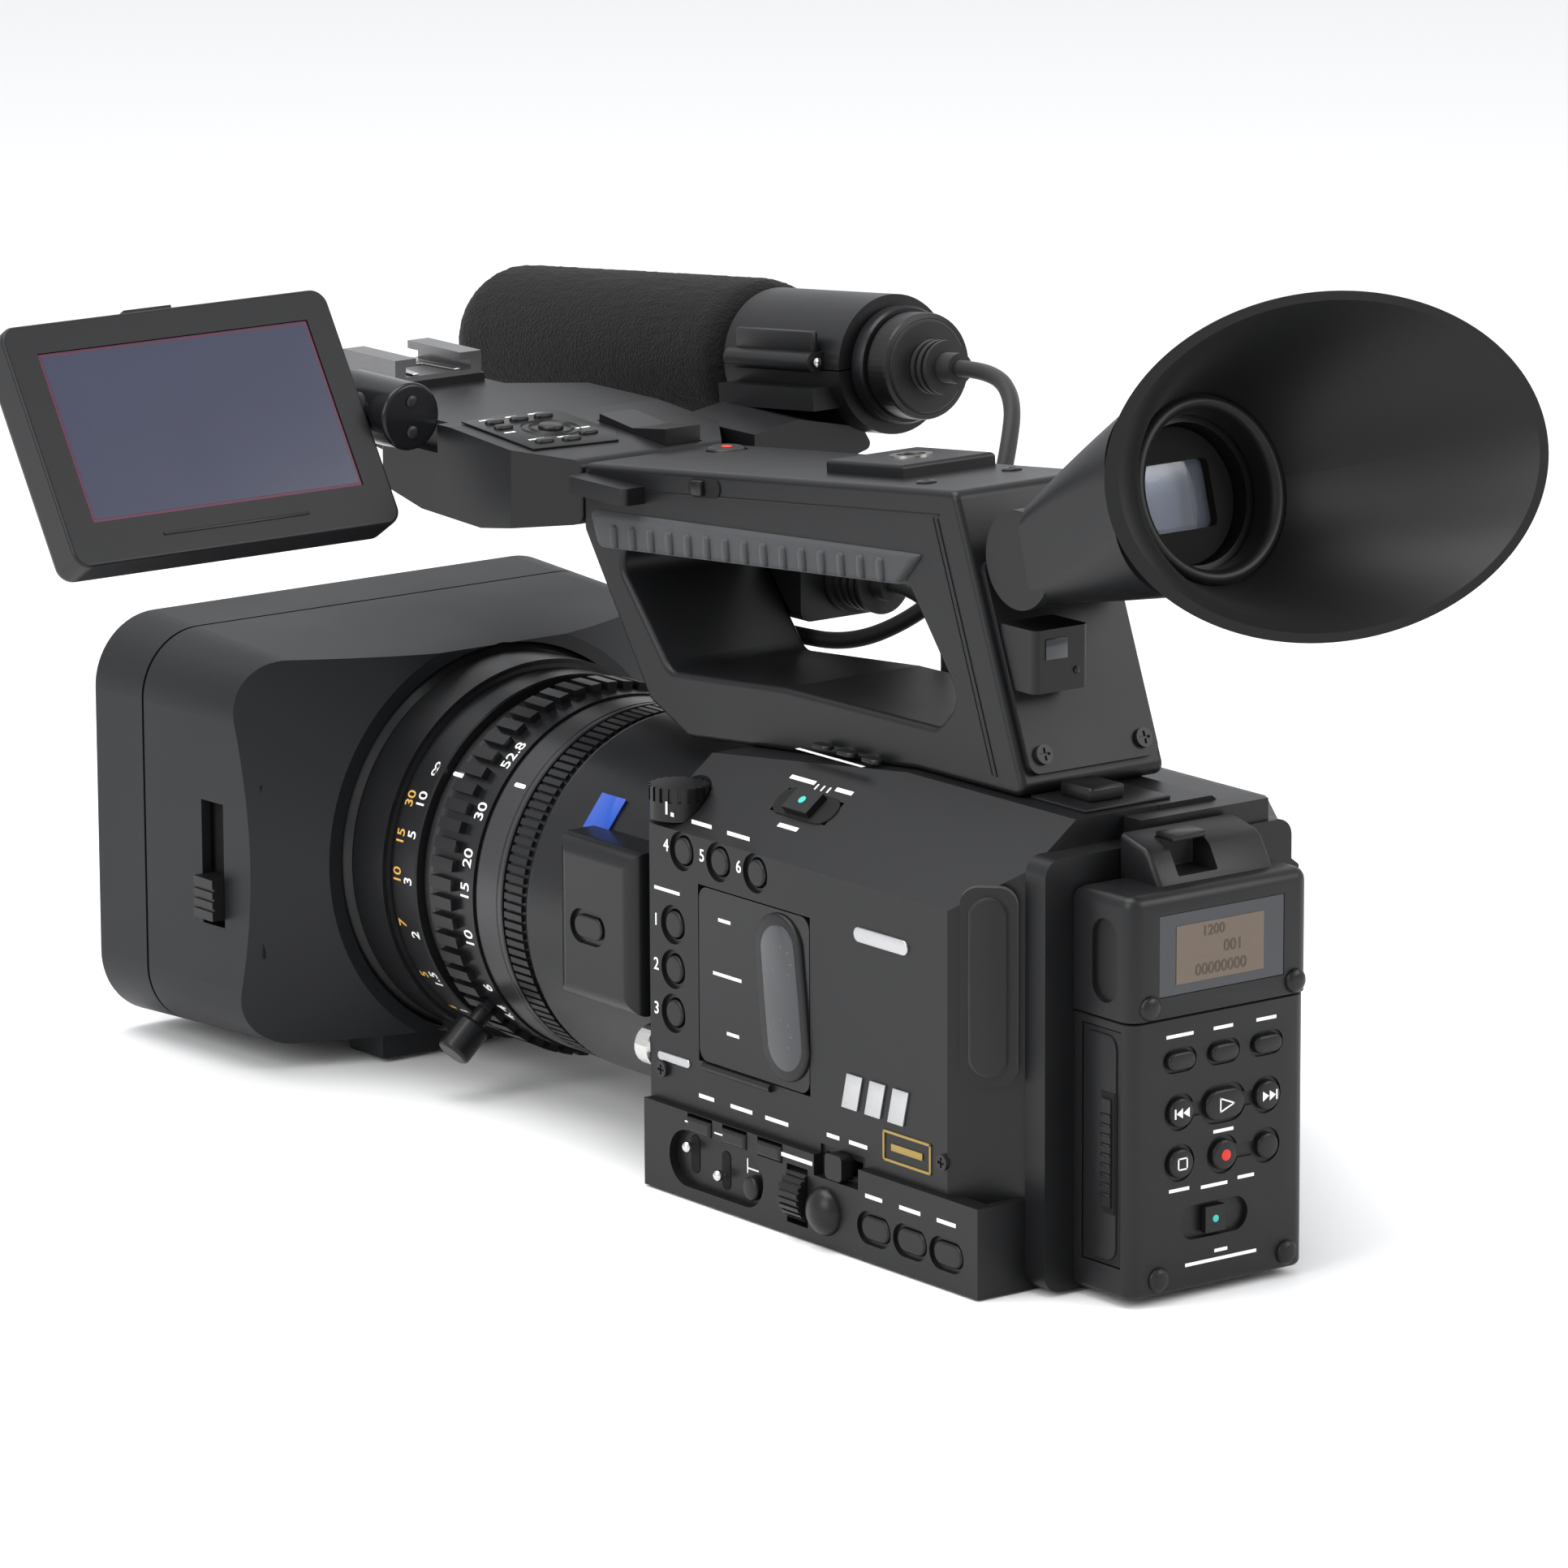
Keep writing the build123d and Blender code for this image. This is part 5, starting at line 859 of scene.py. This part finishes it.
# %% [markdown]
# The front unit has a sunk panel of small keys, with two rings round a four-way key.
# %% Front unit: panel of keys
PANEL = frame_at((-11.5, 88, 156.1), (1, 0, 0), (0, -0.0773, 0.997))
slab([(-13, -15), (10, -17), (14, -10), (14, 12), (8, 16), (-13, 14)], 0.5, 0.2)
keep("unit_panel", "body", "key_plastic", PANEL)
unit_keys = [moved(pill(5.0, 2.6, 1.3, dome=0.5), PANEL @ Matrix.Translation(mm(x, y, 0)))
             for x, y in ((-7, 9), (0, 9), (7, 9), (-7, -11), (0, -12), (7, -9), (-8, 4))]
FOUR_WAY = PANEL @ Matrix.Translation(mm(2, -1, 0))
unit_keys.append(moved(pill(6.0, 6.0, 1.5, dome=0.6), FOUR_WAY))
for inner, crest, outer, height in ((4.6, 5.1, 5.6, 0.9), (6.6, 7.0, 7.4, 0.8)):
    unit_keys.append(moved(turned([(inner, 0.3), (crest, height), (outer, 0.3), (inner, 0.3)], closed=True),
                           FOUR_WAY))
joined(unit_keys)
keep("unit_panel_keys", "body", "key_plastic", smooth=50)
lines = []
for x, y, width in ((-7, 12, 4.4), (0, 12, 3.4), (7, 12, 4.4), (-7, -8, 4.6),
                    (0, -9, 3.6), (9, -4, 3.8), (-9, 0, 3.0)):
    lines.append(moved(block((width, 0.7, 0.06), 0, (x, y, 0.5)), PANEL))
joined(lines)
keep("unit_panel_printing", "body", "print_white", smooth=0)
slab([(-7.0, 146.8), (-5.0, 146.8), (-3.6, 158), (3.6, 158),
      (5.0, 146.8), (7.0, 146.8), (7.0, 166.5), (-7.0, 166.5)], 0.3, 0.1)
keep("shoe_leaf_spring", "body", "bright_steel",
     frame_at((0, 0, 160.35), (1, 0, 0), (0, 0, 1)), smooth=30)
print("front unit keys:", len(unit_keys))

# %% [markdown]
# The monitor's glass has a thin coloured edge, which is the filter under the glass.
# %% Monitor
MONITOR = Matrix.Translation(mm(0, 117.5, 159.5)) @ Matrix.Rotation(math.radians(58), 4, "X")
block((73.8, 41.8, 0.05), 0, (-89, 1.5, 5.1))
keep("monitor_edge_film", "lcd_case", "monitor_edge", MONITOR, smooth=0)
block((72.6, 40.6, 0.12), 0, (-89, 1.5, 5.1))
keep("monitor_picture_glass", "lcd_case", "monitor_glass", MONITOR, smooth=0)
block((40, 0.8, 0.5), 0.2, (-89, -24.5, 5.3))
keep("monitor_lower_ridge", "lcd_case", "cover_plastic", MONITOR)
for number, y in enumerate((-9.0, 9.0), start=1):
    turned([(1.5, 0), (1.5, 0.3), (1.2, 0.5), (0.5, 0.5)], sides=20)
    keep(f"monitor_hinge_screw_{number}", "lcd_hinge", "dark_metal",
         frame_at((-36, 105.4, 159.5 + y * 0.4), (1, 0, 0), (0, -1, 0)), smooth=40)
print("monitor ready")

# %% [markdown]
# Behind the clamp the microphone has a collar and a knurled ring. The clamp closes with a
# latch on its left side.
# %% Microphone collar and clamp latch
turned([(10.5, -50.2), (13.4, -50.2), (13.9, -49.6), (13.9, -46.6),
        (13.4, -46.0), (10.5, -46.0), (10.5, -50.2)], sides=72, closed=True)
keep("microphone_collar", "body", "ring_black", MIC_PLACE, smooth=30)
turned([(11.3, -57.6), (12.4, -57.4), (12.6, -56.8), (12.6, -51.2),
        (12.4, -50.6), (11.3, -50.4), (11.3, -57.6)], sides=60, closed=True)
keep("microphone_knurled_ring", "body", "key_plastic", MIC_PLACE, smooth=0)
CLAMP = Matrix.Translation(mm(68, 101, 163)) @ Matrix.Rotation(MIC_PITCH, 4, "X")
moved(block((2.2, 30.0, 6.4), 0.7, (-17.6, -23.0, 3.0)), CLAMP)
keep("clamp_latch", "mic_clamp", "cover_plastic")
turned([(1.1, 0), (1.1, 0.5), (0.6, 0.8)], sides=20)
keep("clamp_pin", "mic_clamp", "bright_steel",
     CLAMP @ frame_at((-18.7, -39.4, 2.2), (1, 0, 0), (0, -1, 0)), smooth=40)
print("microphone details")

# %% [markdown]
# Inside the eyecup a rolled rim holds it on the finder, and a black mask with a square
# opening lies in front of the glass.
# %% Eyecup rim and mask
TILT = math.radians(16)
EYE = frame_at((0, -134, 173), (1, 0, 0), (0, -math.cos(TILT), math.sin(TILT)))
turned([(17.0, 0.8), (17.0, 5.2), (17.6, 7.0), (18.8, 7.8), (20.0, 7.4),
        (20.6, 6.0), (20.4, 3.4), (18.4, 0.8), (17.0, 0.8)], sides=96, closed=True)
keep("eyecup_inner_rim", "viewfinder_tube", "eyecup_rubber", EYE, smooth=60)
mask = turned([(15.3, -6.2), (15.3, -4.4), (14.9, -4.0)], sides=64)
cut(mask, block((19.0, 15.0, 12.0), 1.6, (0, 0, -10.0), 3))
keep("eyepiece_mask", "viewfinder_tube", "shadow_black", EYE, smooth=30)
block((17.0, 13.0, 0.4), 0.1, (0, 0, -13.2))
finish("finder_picture", (0.16, 0.18, 0.21), 0.25, grain=1.5, depth=0.001, coat=0.5, gloss=0.5)
keep("finder_picture_pane", "viewfinder_tube", "finder_picture", EYE, smooth=0)
print("eyecup details")

# %% [markdown]
# The hand strap is a padded band sewn along both edges. Its outline is two arcs, pushed up
# to the strap's width and rounded, and the stitches are one small pill copied in rows.
# %% Hand strap and palm pad
STRAP_Y = (-53.7, -2.3)
STRAP_X = 85.2
SAG = 9.0
half_chord = (STRAP_Y[1] - STRAP_Y[0]) / 2
arc_r = (half_chord ** 2 + SAG ** 2) / (2 * SAG)
strap_mid = sum(STRAP_Y) / 2


def strap_point(share, out):
    """A point on the strap's curve, share from 0 to 1 and out in mm from its inner face."""
    y = strap_mid + (share - 0.5) * 2 * half_chord
    rise = math.sqrt(arc_r ** 2 - (y - strap_mid) ** 2) - (arc_r - SAG)
    return STRAP_X + rise + out, y


steps = 24
inner_line = [strap_point(i / steps, 0.1) for i in range(steps + 1)]
outer_line = [strap_point(i / steps, 2.5 + 0.4 * math.sin(math.pi * i / steps))
              for i in reversed(range(steps + 1))]
moved(slab(inner_line + outer_line, 37.6, 1.1, 4), Matrix.Translation(mm(0, 0, 32.2)))
strap = keep("hand_strap", "tape_door", "strap_web", smooth=60)
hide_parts("grip_strap")
stitches = []
for i in range(2, 23):
    x, y = strap_point(i / 24, 2.55)
    lean = Vector((x - (STRAP_X - arc_r + SAG), y - strap_mid, 0)).normalized()
    for z in (34.6, 67.4):
        stitches.append(moved(pill(1.6, 0.45, 0.3, dome=0.15, sides=8),
                              frame_at((x + 0.28, y, z), (-lean.y, lean.x, 0), tuple(lean))))
joined(stitches)
keep("hand_strap_stitches", "tape_door", "grey_rubber", smooth=60)
block((46, 34, 0.5), 0.2)
soft_edges(lambda m, d: abs(d.z) > 0.9, 4.0, 5)
keep("palm_pad", "tape_door", "grey_rubber", frame_at((84.0, -28, 51), (0, 1, 0), (1, 0, 0)), smooth=40)
print("strap with", len(stitches), "stitches")

# %% [markdown]
# Behind the hood's lever window a flat black plate is painted shade, so the window reads
# dark instead of letting the bright studio show through.
# %% Hood window plate of painted shade
block((0.8, 44.0, 42.0), 0.2, (-63.4, 152.0, 29.0))
keep("hood_window_shade_plate", "body", "shadow_black")
print("hood window shade plate")

# %% [markdown]
# Makers put badges on such a machine. Here they are blank plates: a silver bar, a silver
# frame of slanted strokes, a gold outline and a blue tab, with nothing written on them.
# %% Blank badges and more legends
joined([moved(pill(19.0, 3.4, 0.5, dome=0.2), LEFT_SIDE(-88.0, 73.0)),
        moved(pill(12.0, 2.0, 0.4, dome=0.2), LEFT_SIDE(-12.0, 31.0))])
keep("badge_silver_bar", "body", "badge_silver", smooth=40)
strokes = [moved(slab([(x, 0), (x + 5.5, 0), (x + 7.5, 8), (x + 2.0, 8)], 0.5, 0.1), LEFT_SIDE(-74.0, 33.0))
           for x in (0.0, 8.2, 16.4)]
joined(strokes)
keep("badge_silver_strokes", "body", "badge_silver", smooth=30)
joined([moved(block((w, h, 0.3), 0.08, (x, y, 0)), LEFT_SIDE(-97.0, 27.5))
        for w, h, x, y in ((17, 0.6, 0, 3.2), (17, 0.6, 0, -3.2), (0.6, 7, 8.2, 0),
                           (0.6, 7, -8.2, 0), (11, 1.6, 0, 0))])
keep("badge_gold_outline", "body", "badge_gold", smooth=30)
legends = bars(LEFT_SIDE(-9.4, 87.4), [6.0], 0.9) + bars(LEFT_SIDE(-22.8, 87.2), [7.4], 0.9)
legends += bars(LEFT_SIDE(-36.4, 87.0), [8.2], 0.9)
joined(legends)
keep("upper_key_printing", "body", "print_white", smooth=0)
slab([(-4.6, -4.6), (4.6, -4.6), (4.6, 4.6), (-4.6, 4.6)], 0.5, 0.12)
keep("badge_blue_tab", "body", "badge_blue", frame_at(lens_point(43.05, 52, 33.0), (0, -1, 0),
     (-math.sin(math.radians(52)), 0, math.cos(math.radians(52)))), smooth=30)
deck = frame_at((-18, -52, 103.05), (0, -1, 0), (0, 0, 1))
deck_keys = [moved(pill(6.0, 3.4, 0.9, dome=0.5), deck @ Matrix.Translation(mm(x, -4.6, 0)))
             for x in (-18, -9, 0)]
joined(deck_keys)
keep("deck_keys", "body", "key_plastic", smooth=50)
joined([moved(block((w, 1.1, 0.06), 0, (x, y, 0)), deck)
        for x, y, w in ((-9, -9.4, 24), (-18, -1.2, 5), (-9, -1.2, 6), (0, -1.2, 5))])
keep("deck_printing", "body", "print_white", smooth=0)
print("blank badges")

# %% [markdown]
# Light, floor and camera come last in the file.
# %% Studio
clear()
bpy.ops.mesh.primitive_plane_add(size=12, location=(0, 0, 0))
floor = bpy.context.object
floor.name = "studio_floor"
finish("floor_pale", (0.86, 0.86, 0.86), 0.7, grain=3, depth=0.002, speck=0.01)
dress(floor, "floor_pale")
world = bpy.data.worlds.new("studio_world")
bpy.context.scene.world = world
bpy.context.scene.view_settings.view_transform = "Standard"
world.use_nodes = True
world.node_tree.nodes["Background"].inputs["Color"].default_value = (0.97, 0.98, 1.0, 1)
world.node_tree.nodes["Background"].inputs["Strength"].default_value = 0.95


def softbox(name, place, target, size, power, colour=(1, 1, 1)):
    """A square soft light that looks at a point."""
    lamp = bpy.data.lights.new(name, "AREA")
    lamp.size = size
    lamp.energy = power
    lamp.color = colour
    thing = bpy.data.objects.new(name, lamp)
    bpy.context.scene.collection.objects.link(thing)
    thing.location = place
    thing.rotation_mode = "QUATERNION"
    thing.rotation_quaternion = (Vector(target) - Vector(place)).to_track_quat("-Z", "Y")
    return thing


softbox("top_light", (-0.25, 0.15, 1.25), (0, 0, 0.08), 1.0, 17)
softbox("left_light", (-1.25, -0.15, 0.75), (0, 0, 0.08), 0.8, 9)
softbox("back_light", (0.7, -1.0, 0.8), (0, -0.1, 0.1), 0.7, 8)
print("three soft lights")

# %% Camera
camera_data = bpy.data.cameras.new("studio_camera")
camera = bpy.data.objects.new("studio_camera", camera_data)
bpy.context.scene.collection.objects.link(camera)
camera_data.sensor_width = 36
camera_data.lens = 203.53
camera_data.clip_start = 0.1
camera_data.clip_end = 50
CAMERA_RIGHT = Vector((0.7964, -0.6047, -0.0043))
CAMERA_UP = Vector((0.1367, 0.173, 0.9754))
CAMERA_BACK = Vector((-0.5891, -0.7774, 0.2205))
camera.matrix_world = Matrix.Translation((-1.1939, -1.5653, 0.5306)) \
    @ Matrix((CAMERA_RIGHT, CAMERA_UP, CAMERA_BACK)).transposed().to_4x4()
bpy.context.scene.camera = camera
print("camera set")

# %% The end
bpy.context.view_layer.update()
